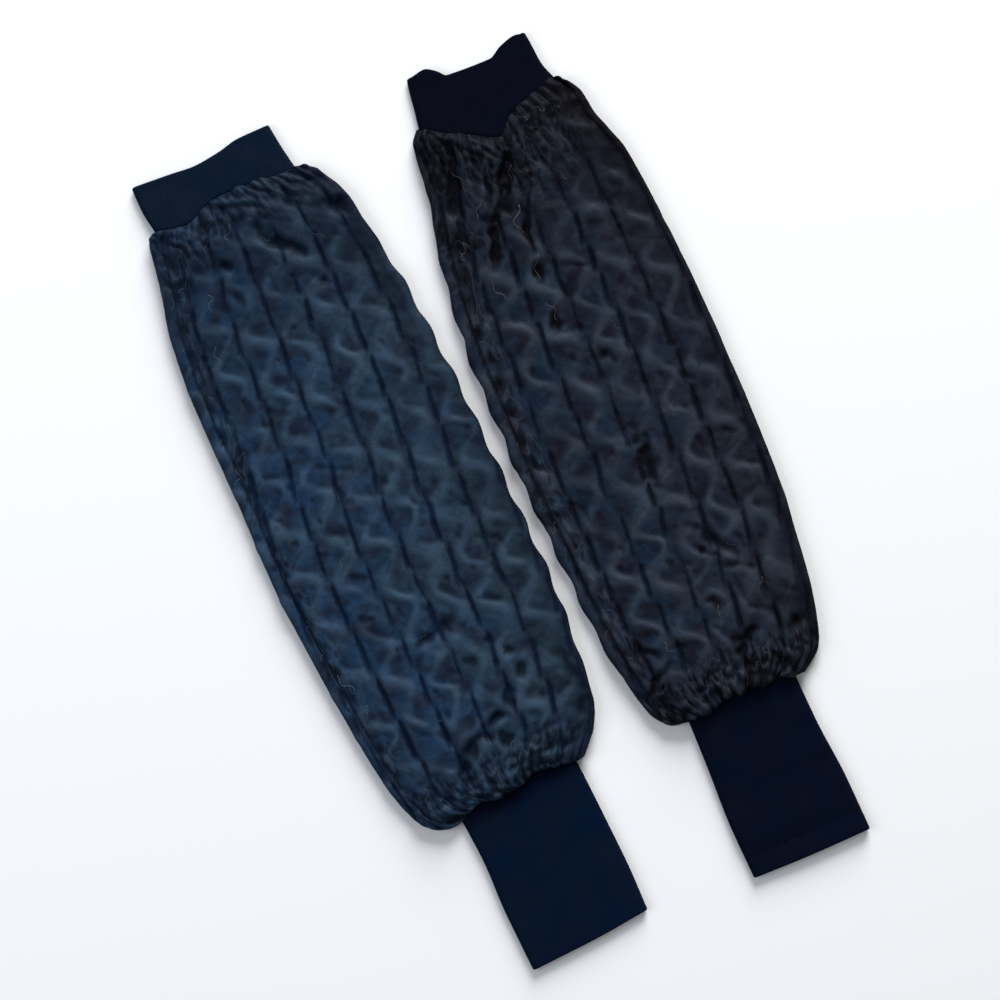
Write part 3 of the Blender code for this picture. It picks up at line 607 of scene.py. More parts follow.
def clothLayers(ring, nearest, across):  # the lower layer, the slit and its roof
    slit = body["slit"] + (cuff["slit"] - body["slit"]) * fade(nearest, body["slitReach"])
    thin = fade(nearest, body["lowerReach"])
    low = (ring["top"] - slit) * body["lowerShare"] * (1 - thin) + cuff["wall"] * thin
    roof = low + body["slitAtFold"] + (slit - body["slitAtFold"]) * (1 - across ** 2)
    return low, slit, roof


def aroundTube(sleeve, ring, q):  # metres round from the crown
    half = sleeve["channels"] * ring["pitch"]
    return ((q + ring["drift"]) * ring["pitch"] + half) % (2 * half) - half


def bodyOutside(sleeve, y, q):  # places, and the marks that the cloth's colours follow
    ring, seed = ringAt(sleeve, y), sleeve["seed"]
    around = aroundTube(sleeve, ring, q)
    x, z, out, up, across = onSection(ring, around)
    fromWrist, fromUpper, nearest = fromEnds(sleeve, y)
    relief, shown = raisedCloth(sleeve, ring, y, q, around)
    rising = 1 - fade(nearest, gathers["start"])
    above, below = np.clip(up, 0, 1), np.clip(-up, 0, 1)
    mean, ofRelief, most = body["flattened"]
    pressed = np.clip(mean - ofRelief * relief, 0, most)
    onFold = body["roundFold"] * (1 - above - below)
    height = rising * (relief * (above + onFold) - below * pressed)
    calmEdge = fade(nearest, body["scallopStart"])
    bulging = body["scallop"] * np.cos(2 * math.pi * (y - sleeve["bulge"]) / sleeve["wave"])
    scallop = np.where(np.sign(across) == sleeve["scalloped"], (1 - calmEdge) * bulging, 0)
    rim = body["rimRadius"]
    rounded = rim * (1 - np.sqrt(1 - np.clip(1 - nearest / rim, 0, 1) ** 2))
    x = x + out * (height - rounded) + np.abs(out) * np.sign(across) * scallop
    z = z + up * (height - rounded)

    atWrist = fromWrist < fromUpper
    mean, unevenly, width = body["lip"]
    row = np.where(atWrist, 0.3, 7.3)  # the two ends are unlike
    lip = mean + unevenly * uneven(seed + 23, q * ring["pitch"] / width, row)
    reach, tall = body["lipReach"]
    lip = lip * fade(nearest, reach) * np.clip((z - cuff["top"]) / tall, 0, 1)
    y = y + seamShift(sleeve, ring, across, up) + np.where(atWrist, -lip, lip)

    low, slit, roof = clothLayers(ring, nearest, across)
    inBody, atSeam = body["thinnest"]
    thinnest = roof + inBody * rising + atSeam * (1 - rising)
    dents = pressedBy(sleeve["creases"], seed, x, y) * above
    softly = body["softly"]
    top = thinnest + np.logaddexp(0, (z - dents - thinnest) / softly) * softly
    z = np.where(up > 0, z + above * (top - z), z)
    underDents = pressedBy(sleeve["underCreases"], seed, x, y) * below
    share, least = body["underLeast"]
    z = np.where(up < 0, np.minimum(z + underDents * rising, (1 - share) * low + least), z)
    stands = height - dents * above - underDents
    marks = clothMarks(sleeve, fromWrist, fromUpper, across, up, shown, dents * above, stands)
    return np.stack(np.broadcast_arrays(x, y, z), -1), marks


def aroundAverage(values, reach):  # of the neighbouring points, round and along the tube
    total = values.copy()
    for step in range(1, reach + 1):
        total += np.roll(values, step, 1) + np.roll(values, -step, 1)
    across = total / (2 * reach + 1)
    padded = np.concatenate((np.repeat(across[:1], reach, 0), across,
                             np.repeat(across[-1:], reach, 0)))
    rows = values.shape[0]
    return sum(padded[k:k + rows] for k in range(2 * reach + 1)) / (2 * reach + 1)


shade = {  # painted shade and painted highlight in the cloth's colours, following its form, from 0 to 1
    "proudBy": 0.0004,  # over its surroundings, to count as standing out or lying in
    "hollowShade": (0.40, 0.35),  # painted shade where the cloth lies in, and more beside the cuff seams
    # painted shade in the lengthwise seam's line, in its pits and in the pocks
    "seamLine": 0.5,
    "seamPits": 0.8,
    "pocks": 0.24,
    "ridge": (0.8, 0.30),  # painted highlight, of the winding ridge and of what stands out
    "crease": 0.0032,  # depth of a crease whose painted shade is full
    "dimReach": (0.13, 0.08),  # reach of the painted shade from the upper-arm seam and the wrist one
    "fold": (0.9, 0.85),  # how dark the painted shade gets round the folds, and how flat the cloth is before
    "edge": (0.30, 0.15, 4),  # painted shade at both edges, more at the right one, how close to it
    "crumpled": (1.7, 0.4),  # how soon it is full, and how much further it reaches at the left
    "crumpledBeside": (0.7, 0.004, 0.012),  # the lengthwise seam: share, place, reach
}


def clothMarks(sleeve, fromWrist, fromUpper, across, up, shown, dents, stands):
    proud = (stands - aroundAverage(stands, 3)) / shade["proudBy"]
    # painted shade where the cloth lies lower than around it
    hollowShade, nearSeam = shade["hollowShade"]
    hollowShade = (hollowShade + nearSeam * shown["gathered"]) * np.clip(-proud, 0, 1)
    hollowShade = hollowShade + sum(shade[word] * shown[word] for word in ("seamLine", "seamPits", "pocks"))
    # painted highlight on the winding ridges and on whatever stands out
    ofRidge, ofProud = shade["ridge"]
    ridge = ofRidge * shown["light"] + ofProud * np.clip(proud, 0, 1.2)
    # painted shade: darker towards the ends, round the folds and at the edges
    paintedShade = sum(most * fade(distance, reach) for most, distance, reach in zip(
        sleeve["paintedShade"], (fromUpper, fromWrist), shade["dimReach"]))
    most, turned = shade["fold"]
    paintedShade = paintedShade + most * np.clip(turned - np.abs(up), 0, 1)
    most, atRight, power = shade["edge"]
    paintedShade = paintedShade + (most + atRight * np.sign(across)) * np.abs(across) ** power
    # where the crumples' painted pits of shade and pale squiggles of painted highlight go
    reachWrist, reachUpper = sleeve["crumpled"]
    soon, atLeft = shade["crumpled"]
    reachUpper = reachUpper * (1 - atLeft * across)
    crumpled = soon * (fade(fromWrist, reachWrist) + fade(fromUpper, reachUpper))
    most, place, reach = shade["crumpledBeside"]
    beside = most * fade(np.abs(shown["besideSeam"] - place), reach)
    marks = {"ridge": ridge, "hollowShade": hollowShade, "creaseShade": dents / shade["crease"],
             "groove": shown["narrow"], "paintedShade": paintedShade, "acrossSleeve": 0.5 + 0.5 * across,
             "crumpled": crumpled + beside}
    return {word: np.clip(values, 0, 1) for word, values in marks.items()}


def bodyInside(sleeve, y, q):
    ring, nearest = ringAt(sleeve, y), fromEnds(sleeve, y)[2]
    low, slit, _ = clothLayers(ring, nearest, 0)
    wall = body["sideWall"] + (cuff["wall"] - body["sideWall"]) * fade(nearest, body["slitReach"])
    x, z, across = onSlit(ring, aroundTube(sleeve, ring, q), low, slit, body["slitAtFold"], wall)
    up = np.where(z > low + body["slitAtFold"] / 2, 1.0, -1.0)
    return np.stack(np.broadcast_arrays(x, y + seamShift(sleeve, ring, across, up), z), -1)


def wholeSteps(start, end, step):  # even ones, near the step given
    return np.linspace(start, end, max(2, round(abs(end - start) / step) + 1))


def bodyColumns(sleeve):  # channel places all round, close together beside each groove
    count, channels = body["columnsAChannel"], sleeve["channels"]
    beside = np.array((0.0, 0.014, 0.030, 0.052, 0.082, 0.124))
    between = np.linspace(beside[-1], 1 - beside[-1], count - 2 * len(beside) + 2)[1:-1]
    fine = np.concatenate((beside, between, 1 - beside[:0:-1]))
    coarse = np.concatenate((beside[[0, 2, 4]], np.linspace(0.16, 0.84, 7), 1 - beside[[4, 2]]))
    places = []
    for index in range(-math.ceil(channels), math.ceil(channels)):
        inner = abs(index + 0.5) < body["fineChannels"]
        places.extend(index + (fine if inner else coarse))
    places = np.array([p for p in places if -channels <= p < channels - 0.01])
    spare = len(places) % body["insideEvery"][0]  # a whole number for the inside's columns
    return np.delete(places, np.arange(1, 1 + spare)) if spare else places


def bodyRings(sleeve):
    wrist, upper = sleeve["rows"][0][0], sleeve["rows"][-1][0]
    beside = np.array(body["seamRows"])
    between = wholeSteps(wrist + beside[-1], upper - beside[-1], body["rowStep"])
    return np.concatenate((wrist + beside[:-1], between, upper - beside[-2::-1]))


def loopFaces(first, second, count):  # between two rings, by their first numbers
    i = np.arange(count)
    k = (i + 1) % count
    return np.stack((first + i, first + k, second + k, second + i), -1)


def fanFaces(fine, coarse, count, every, turned):  # from a fine ring to one of fewer points
    faces = []
    few = count // every
    for k in range(few):
        inner, after = coarse + k, coarse + (k + 1) % few
        for i in range(every):
            a, b = fine + (k * every + i) % count, fine + (k * every + i + 1) % count
            faces.append((a, b, inner) if i < every // 2 else (a, b, after))
        middle = fine + k * every + every // 2
        faces.append((middle, after, inner))
    return [face[::-1] for face in faces] if turned else faces


def layIn(sleeve, points):  # from the sleeve's frame to the pair's
    c, s = math.cos(sleeve["lean"]), math.sin(sleeve["lean"])
    x, y = points[..., 0], points[..., 1]
    px, py = sleeve["place"]
    return np.stack((px + c * x - s * y, py + s * x + c * y, points[..., 2]), -1)


def clothPlaces(*grids):  # millimetres round and along the smooth cloth, outside and then inside
    return np.concatenate([1000 * np.stack(np.broadcast_arrays(u, v), -1).reshape(-1, 2)
                           for u, v in grids])


def tubeMesh(name, outside, inside, every, cloth, fullTurn):  # one closed wall from its rings
    rings, count = outside.shape[:2]
    innerRings, few = inside.shape[:2]
    start = rings * count
    points = np.concatenate((outside.reshape(-1, 3), inside.reshape(-1, 3)))
    faces = [loopFaces(j * count, (j + 1) * count, count) for j in range(rings - 1)]
    faces += [loopFaces(start + (j + 1) * few, start + j * few, few) for j in range(innerRings - 1)]
    faces = [tuple(face) for block in faces for face in block.tolist()]
    faces += fanFaces(0, start, count, every, True)
    faces += fanFaces((rings - 1) * count, start + (innerRings - 1) * few, count, every, False)
    mesh = bpy.data.meshes.new(name)
    mesh.from_pydata(points.tolist(), [], faces)
    corners, sides = np.zeros(len(mesh.loops), int), np.zeros(len(mesh.polygons), int)
    mesh.loops.foreach_get("vertex_index", corners)
    mesh.polygons.foreach_get("loop_total", sides)
    places, face = cloth[corners], np.repeat(np.arange(len(sides)), sides)
    furthest = np.full(len(sides), -np.inf)
    np.maximum.at(furthest, face, places[:, 0])
    places[furthest[face] - places[:, 0] > fullTurn / 2, 0] += fullTurn  # where a ring closes
    mesh.uv_layers.new(name="cloth").data.foreach_set("uv", places.ravel())
    mesh.shade_smooth()
    piece = bpy.data.objects.new(name, mesh)
    bpy.context.scene.collection.objects.link(piece)
    return piece


def addMarks(piece, marks, shape):  # values on the outside's points that the materials read
    for name, values in marks.items():
        full = np.zeros(len(piece.data.vertices))
        full[:shape[0] * shape[1]] = np.broadcast_to(values, shape).ravel()
        layer = piece.data.attributes.new(name, "FLOAT", "POINT")
        layer.data.foreach_set("value", full.astype(np.float32))


def makeBody(sleeve):
    q, y = bodyColumns(sleeve)[None, :], bodyRings(sleeve)[:, None]
    outside, marks = bodyOutside(sleeve, y, q)
    everyColumn, everyRow = body["insideEvery"]
    innerQ = q[:, ::everyColumn]
    innerY = np.concatenate((y[:1], y[2:-2:everyRow], y[-1:]))
    inside = bodyInside(sleeve, innerY, innerQ)
    smooth = body["smoothPitch"]
    cloth = clothPlaces((q * smooth, y), (innerQ * smooth, innerY))
    piece = tubeMesh(sleeve["name"] + "_quilted_body", layIn(sleeve, outside),
                     layIn(sleeve, inside), everyColumn, cloth,
                     2 * sleeve["channels"] * smooth * 1000)
    addMarks(piece, marks, outside.shape[:2])
    return piece


cuff = {  # plain fine knit, folded double
    "wall": 0.0020,
    "top": 0.0053,
    "fold": 0.0052,
    "slit": 0.0011,
    "gap": 0.0001,  # to the body it is sewn to
    "step": 0.0012,
    "insideEvery": 4,
    "insideRings": (0.008, 0.012),  # how far the first is from a rim, and the steps between
    "seamRim": 0.0006,
    "freeRim": 0.0010,
    "shadedReach": 0.013,  # how far the painted shadow of the body reaches over the knit from the seam
    "ripple": (0.00022, 0.030, 0.011),  # height, width, length
    "pucker": (0.00025, 0.0035, 0.010),
    "puckerReach": 0.014,
    "line": (0.00028, 0.0011),  # depth and width of a pressed line
    "flatBeside": 0.0020,  # the seam, where nothing is lifted
}


def makeCuff(sleeve, end):
    data, rows = sleeve[end], sleeve["rows"]
    seam = rows[0][0] if end == "wrist" else rows[-1][0]
    free = data["edges"][-1][0]
    outward, length = math.copysign(1.0, free - seam), abs(free - seam)
    seed = sleeve["seed"] + {"wrist": 60, "upper": 70}[end]

    def section(distance):
        at = seam + outward * np.clip(distance, 0, length)
        ring = readTable(("y", "left", "right"), data["edges"], at)
        ring["top"], ring["fold"] = (np.full(at.shape, cuff[word]) for word in ("top", "fold"))
        return folded(ring)

    def along(distance, across, up):
        start = onSeam(data["seam"], across, up) + outward * cuff["gap"]
        return start + (alongLine(data["end"], across) - start) * np.clip(distance / length, 0, 1)

    perimeter = 4 * float(section(np.zeros((1, 1)))["flat"][0, 0]) + math.pi * cuff["fold"]
    every = cuff["insideEvery"]
    count = every * round(perimeter / cuff["step"] / every)
    share = np.arange(count)[None, :] / count * 2 - 1  # round, from the underside's middle

    def outside(distance, inset):
        ring = section(distance)
        around = share * (2 * ring["flat"] + math.pi * ring["radius"])
        x, z, out, up, across = onSection(ring, around)
        rise, wide, long = cuff["ripple"]
        lift = rise * data["ripples"] * uneven(seed, x / wide, distance / long)
        rise, wide, long = cuff["pucker"]
        puckers = uneven(seed + 1, x / wide, distance / long) * fade(distance, cuff["puckerReach"])
        lift = lift + rise * puckers
        if data["line"]:
            depth, width = cuff["line"]
            lift = lift - depth * np.exp(-((length - distance - data["line"]) / width) ** 2)
        lift = lift * np.clip(up, 0, 1) * (1 - fade(distance, cuff["flatBeside"])) - inset
        return np.stack(np.broadcast_arrays(x + out * lift, along(distance, across, up),
                                            z + up * lift), -1)

    def inside(distance, share):
        ring = section(distance)
        around = share * (2 * ring["flat"] + math.pi * ring["radius"])
        x, z, across = onSlit(ring, around, cuff["wall"], cuff["slit"], cuff["slit"], cuff["wall"])
        up = np.where(z > cuff["wall"] + cuff["slit"] / 2, 1.0, -1.0)
        return np.stack(np.broadcast_arrays(x, along(distance, across, up), z), -1)

    bend = np.sin(np.linspace(0, math.pi / 2, 5))  # round the rims
    inward = 1 - np.sqrt(1 - bend ** 2)
    seamRim, freeRim = cuff["seamRim"], cuff["freeRim"]
    middle = wholeSteps(seamRim, length - freeRim, cuff["step"])
    distance = np.concatenate((seamRim * (1 - bend[:0:-1]), middle,
                               length - freeRim * (1 - bend[1:])))
    inset = np.concatenate((seamRim * inward[:0:-1], 0 * middle, freeRim * inward[1:]))
    first, step = cuff["insideRings"]
    innerAt = np.concatenate(([seamRim], wholeSteps(first, length - first, step),
                              [length - freeRim]))
    few = share[:, ::every]
    outer, inner = outside(distance[:, None], inset[:, None]), inside(innerAt[:, None], few)
    if end == "wrist":  # rings run towards +Y, as the body's do
        outer, inner, distance, innerAt = outer[::-1], inner[::-1], distance[::-1], innerAt[::-1]
    cloth = clothPlaces((share * perimeter / 2, distance[:, None]),
                        (few * perimeter / 2, innerAt[:, None]))
    piece = tubeMesh(sleeve["name"] + "_" + end + "_knit_cuff", layIn(sleeve, outer),
                     layIn(sleeve, inner), every, cloth, perimeter * 1000)
    # painted shadow of the body's gathers on the knit beside the seam
    shaded = data["shaded"] * fade(distance, cuff["shadedReach"])
    addMarks(piece, {"shaded": shaded[:, None]}, outer.shape[:2])
    return piece


def toLinear(code):  # an sRGB hex colour as the linear one that shaders take
    values = [int(code[i:i + 2], 16) / 255 for i in (1, 3, 5)]
    return tuple(v / 12.92 if v <= 0.04045 else ((v + 0.055) / 1.055) ** 2.4
                 for v in values) + (1.0,)


def addNode(tree, kind, inputs=(), **settings):  # each input is a value or what feeds it
    node = tree.nodes.new(kind)
    for name, value in settings.items():
        setattr(node, name, value)
    for socket, value in dict(inputs).items():
        if isinstance(value, bpy.types.NodeSocket):
            tree.links.new(value, node.inputs[socket])
        else:
            node.inputs[socket].default_value = value
    return node


def newMaterial(name, look):
    material = bpy.data.materials.new(name)
    material.use_nodes = True
    tree = material.node_tree
    shader = tree.nodes["Principled BSDF"]
    shader.inputs["Roughness"].default_value = look["rough"]
    shader.inputs["Specular IOR Level"].default_value = look["specular"]
    return material, tree, shader


def layTints(tree, colour, look, tints):  # each over the last, by how far its share is in a range
    for share, low, high, most, tint in tints:
        amount = addNode(tree, "ShaderNodeMapRange", {
            "Value": share, "From Min": low, "From Max": high, "To Max": most}).outputs[0]
        colour = addNode(tree, "ShaderNodeMix", {0: amount, 6: colour, 7: toLinear(look[tint])},
                         data_type="RGBA").outputs[2]
    return colour


# dark is the tint of the painted shade, deep that of the flecks and of painted shade in hollows,
# creases and pits, ridge that of painted highlight
# the two looks are copies of one cloth, the right one painted darker and greyer for the light that
# falls on it
leftQuilt = {"cool": "#17304B", "grey": "#202F3A", "dusk": "#141C2C", "deep": "#030915",
             "groove": "#03152E", "dark": "#060E1E", "ridge": "#40566B", "ridgeShare": 0.44,
             "grooveShare": 0.56, "creaseShare": 0.62, "pitShare": 0.62, "lineShare": 0.42,
             "rough": 0.62, "ridgeRough": 0.50, "specular": 0.06}
rightQuilt = {"cool": "#142335", "grey": "#1C212B", "dusk": "#11121E", "deep": "#020206",
              "groove": "#030B15", "dark": "#06060D", "ridge": "#404955", "ridgeShare": 0.43,
              "grooveShare": 0.46, "creaseShare": 0.95, "pitShare": 0.90, "lineShare": 0.55,
              "rough": 0.62, "ridgeRough": 0.50, "specular": 0.05}


def quiltedPolyester(name, look):  # woven and crinkled, faintly satin on its raised ridges, with painted highlight on them and painted shade in its hollows
    material, tree, shader = newMaterial(name, look)
    cloth = addNode(tree, "ShaderNodeUVMap", uv_map="cloth").outputs[0]  # millimetres of cloth
    drawn = addNode(tree, "ShaderNodeMapping", {"Vector": cloth, "Scale": (1, 0.5, 1)}).outputs[0]
    mark, noise, crumples = {}, {}, {}
    for word in ("ridge", "hollowShade", "creaseShade", "groove", "paintedShade", "crumpled", "acrossSleeve"):
        mark[word] = addNode(tree, "ShaderNodeAttribute", attribute_name=word).outputs["Fac"]
    for word, place, size, detail, distortion in (  # sizes in millimetres of cloth
            ("patches", cloth, 38, 1.0, 0.0), ("blotches", cloth, 13, 2.0, 0.0),
            ("flecks", cloth, 2.2, 3.0, 0.0), ("crinkle", cloth, 3.6, 3.0, 0.0),
            ("squiggles", drawn, 8.5, 1.0, 0.8), ("dents", drawn, 8.0, 1.5, 0.5)):
        noise[word] = addNode(tree, "ShaderNodeTexNoise", {
            "Vector": place, "Scale": 1 / size, "Detail": detail,
            "Distortion": distortion}).outputs[0]
    shift = addNode(tree, "ShaderNodeMapRange", {
        "Value": noise["patches"], "From Min": 0.35, "From Max": 0.65, "To Min": -0.3,
        "To Max": 0.3}).outputs[0]
    # bluer towards the left and greyer towards the right: the cloth's own uneven tone, and partly a
    # painted colour cast of the light
    tone = addNode(tree, "ShaderNodeMath", {0: mark["acrossSleeve"], 1: shift}).outputs[0]
    # beside the seams: pits of painted shade and pale squiggles of painted highlight on the
    # crumples
    mirrored = addNode(tree, "ShaderNodeMath", {0: noise["squiggles"], 1: 0.5},
                       operation="PINGPONG").outputs[0]
    for word, source, low, high in (("lines", mirrored, 0.44, 0.50),
                                    ("pits", noise["dents"], 0.48, 0.59)):
        found = addNode(tree, "ShaderNodeMapRange", {
            "Value": source, "From Min": low, "From Max": high}).outputs[0]
        crumples[word] = addNode(tree, "ShaderNodeMath", {0: found, 1: mark["crumpled"]},
                                 operation="MULTIPLY").outputs[0]
    colour = layTints(tree, toLinear(look["cool"]), look, (
        (tone, 0.0, 1.0, 1.0, "grey"),
        (noise["blotches"], 0.45, 0.60, 0.90, "dusk"),
        (noise["flecks"], 0.30, 0.70, 0.20, "deep"),
        # painted highlight on the ridges and on what stands out
        (mark["ridge"], 0.10, 1.00, look["ridgeShare"], "ridge"),
        # painted shade in crumple pits, then painted highlight along crumple squiggles
        (crumples["pits"], 0.0, 1.0, look["pitShare"], "deep"),
        (crumples["lines"], 0.0, 1.0, look["lineShare"], "ridge"),
        # painted shade in hollows, the seam's line, its pits and the pocks
        (mark["hollowShade"], 0.05, 0.90, 0.80, "deep"),
        # painted shade in the creases
        (mark["creaseShade"], 0.12, 0.80, look["creaseShare"], "deep"),
        # the grooves' own dark stitching, and painted shade in the groove
        (mark["groove"], 0.05, 0.90, look["grooveShare"], "groove"),
        # painted shade towards the ends, round the folds and at the edges
        (mark["paintedShade"], 0.0, 1.0, 1.0, "dark")))
    tree.links.new(colour, shader.inputs["Base Color"])
    rough = addNode(tree, "ShaderNodeMapRange", {
        "Value": mark["ridge"], "To Min": look["rough"], "To Max": look["ridgeRough"]})
    tree.links.new(rough.outputs[0], shader.inputs["Roughness"])
    # threads 0.35 mm apart are finer than a pixel, so the weave is drawn 1.2 mm apart
    threads = [addNode(tree, "ShaderNodeTexWave", {
        "Vector": cloth, "Scale": 0.26, "Distortion": 1.2, "Detail": 1.0, "Detail Scale": 1.5},
        bands_direction=way).outputs["Fac"] for way in ("X", "Y")]
    weave = addNode(tree, "ShaderNodeMath", dict(enumerate(threads)), operation="MULTIPLY")
    fine = addNode(tree, "ShaderNodeBump", {
        "Height": weave.outputs[0], "Strength": 0.30, "Distance": 0.0002})
    raised = addNode(tree, "ShaderNodeMath", {0: crumples["lines"], 1: 0.35, 2: noise["crinkle"]},
                     operation="MULTIPLY_ADD").outputs[0]
    bump = addNode(tree, "ShaderNodeBump", {
        "Height": raised, "Normal": fine.outputs[0], "Strength": 0.42, "Distance": 0.0009})
    tree.links.new(bump.outputs[0], shader.inputs["Normal"])
    return material


def fineKnit(name, look):  # a close matt jersey, its stitches just visible from near
    material, tree, shader = newMaterial(name, look)
    cloth = addNode(tree, "ShaderNodeUVMap", uv_map="cloth").outputs[0]
    # painted shadow of the body beside the seam
    shaded = addNode(tree, "ShaderNodeAttribute", attribute_name="shaded").outputs["Fac"]
    patches, fuzz = (addNode(tree, "ShaderNodeTexNoise", {
        "Vector": cloth, "Scale": 1 / size, "Detail": detail}).outputs[0]
        for size, detail in ((24, 2.0), (1.6, 3.0)))
    colour = layTints(tree, toLinear(look["cool"]), look, (
        (patches, 0.35, 0.65, 1.0, "grey"), (fuzz, 0.30, 0.70, 0.35, "deep"),
        # painted shadow of the body beside the seam
        (shaded, 0.0, 1.0, 1.0, "deep")))
    tree.links.new(colour, shader.inputs["Base Color"])
    # wales 0.6 mm apart are finer than a pixel, so they are drawn 1.3 mm apart
    loops = [addNode(tree, "ShaderNodeTexWave", {
        "Vector": cloth, "Scale": scale, "Distortion": bend, "Detail": 1.0, "Detail Scale": 2.0},
        bands_direction=way).outputs["Fac"] for way, scale, bend in (("X", 0.24, 0.8),
                                                                     ("Y", 0.30, 1.5))]
    knitted = addNode(tree, "ShaderNodeMath", dict(enumerate(loops)), operation="MULTIPLY")
    bump = addNode(tree, "ShaderNodeBump", {
        "Height": knitted.outputs[0], "Strength": 0.35, "Distance": 0.0003})
    tree.links.new(bump.outputs[0], shader.inputs["Normal"])
    return material


def sewingThread(name, look):  # twisted polyester, which glints a little along its length
    material, tree, shader = newMaterial(name, look)
    place = addNode(tree, "ShaderNodeTexCoord").outputs["Object"]
    # plies 0.3 mm long, drawn as flecks 0.8 mm across
    plies = addNode(tree, "ShaderNodeTexNoise", {
        "Vector": place, "Scale": 1 / 0.0008, "Detail": 2.0}).outputs[0]
    colour = addNode(tree, "ShaderNodeMix", {
        0: plies, 6: toLinear(look["pale"]), 7: toLinear(look["dark"])}, data_type="RGBA")
    tree.links.new(colour.outputs[2], shader.inputs["Base Color"])
    bump = addNode(tree, "ShaderNodeBump", {"Height": plies, "Strength": 0.3, "Distance": 0.0001})
    tree.links.new(bump.outputs[0], shader.inputs["Normal"])
    return material


stitches = {  # of the quilting, in runs along the grooves
    "every": 0.0031,
    "length": 0.0028,
    "radius": 0.00015,
    "follows": 0.4,  # of its length to either side, where it takes the cloth's slope
    "fromSeam": 0.006,
    "tight": 0.35,  # strength of a groove from where it is sewn
    "sunk": 0.00004,
    "left": {"pale": "#0A1D33", "dark": "#051529", "rough": 0.6, "specular": 0.06},
    "right": {"pale": "#09111B", "dark": "#04080E", "rough": 0.6, "specular": 0.06},
}


def modelStitch():
    bpy.ops.object.select_all(action="DESELECT")
    bpy.ops.mesh.primitive_cylinder_add(vertices=6, radius=stitches["radius"],
                                        depth=stitches["length"])
    stitch = bpy.context.active_object
    for polygon in stitch.data.polygons:
        polygon.select = abs(polygon.normal.z) > 0.9
    for part in (*stitch.data.vertices, *stitch.data.edges):
        part.select = False
    bpy.context.tool_settings.mesh_select_mode = (False, False, True)
    bpy.ops.object.mode_set(mode="EDIT")
    bpy.ops.mesh.inset(thickness=0.6 * stitches["radius"], depth=0.9 * stitches["radius"])
    bpy.ops.object.mode_set(mode="OBJECT")
    bpy.ops.object.shade_smooth()
    return stitch


def joinCopies(name, models, matrices):  # each copy has its own mesh, laid in place
    bpy.ops.object.select_all(action="DESELECT")
    for number, matrix in matrices:
        copy = models[number].copy()
        copy.data = models[number].data.copy()
        copy.data.transform(matrix)
        bpy.context.scene.collection.objects.link(copy)
        copy.select_set(True)
        bpy.context.view_layer.objects.active = copy
    bpy.ops.object.join()
    piece = bpy.context.active_object
    piece.name = piece.data.name = name
    for model in models:
        bpy.data.meshes.remove(model.data)
    return piece


def sewRuns(sleeve):  # a stitch every few millimetres, where a run is tight
    lines = np.arange(-math.floor(sleeve["channels"]), math.ceil(sleeve["channels"]), dtype=float)
    ends = [sleeve["rows"][row][0] for row in (0, -1)]
    ys = np.arange(ends[0] + stitches["fromSeam"], ends[1] - stitches["fromSeam"],
                   stitches["every"])
    y, line = (part.ravel() for part in np.meshgrid(ys, lines, indexing="ij"))
    pitch = ringAt(sleeve, y)["pitch"]
    reach = stitches["follows"] * stitches["length"]
    matrices = []
    for offset, strength in stitchedRuns(sleeve, y, line):
        tight = strength > stitches["tight"]
        at, q = y[tight][:, None], (line + offset / pitch)[tight][:, None]
        behind, ahead, beside = (
            layIn(sleeve, bodyOutside(sleeve, at + step, q + aside)[0])[:, 0]
            for step, aside in ((-reach, 0), (reach, 0), (0, 0.02)))
        for b, d, c in zip(behind, ahead, beside):
            a = (b + d) / 2
            along = Vector(d - b).normalized()
            out = along.cross(Vector(a - c)).normalized()
            turn = Matrix((out.cross(along), out, along)).transposed().to_4x4()
            if a[2] > 2 * stitches["radius"]:  # none under the sleeve, where it rests
                place = Vector(a) - out * stitches["sunk"]
                matrices.append((0, Matrix.Translation(place) @ turn))
    return joinCopies(sleeve["name"] + "_quilting_stitches", [modelStitch()], matrices)


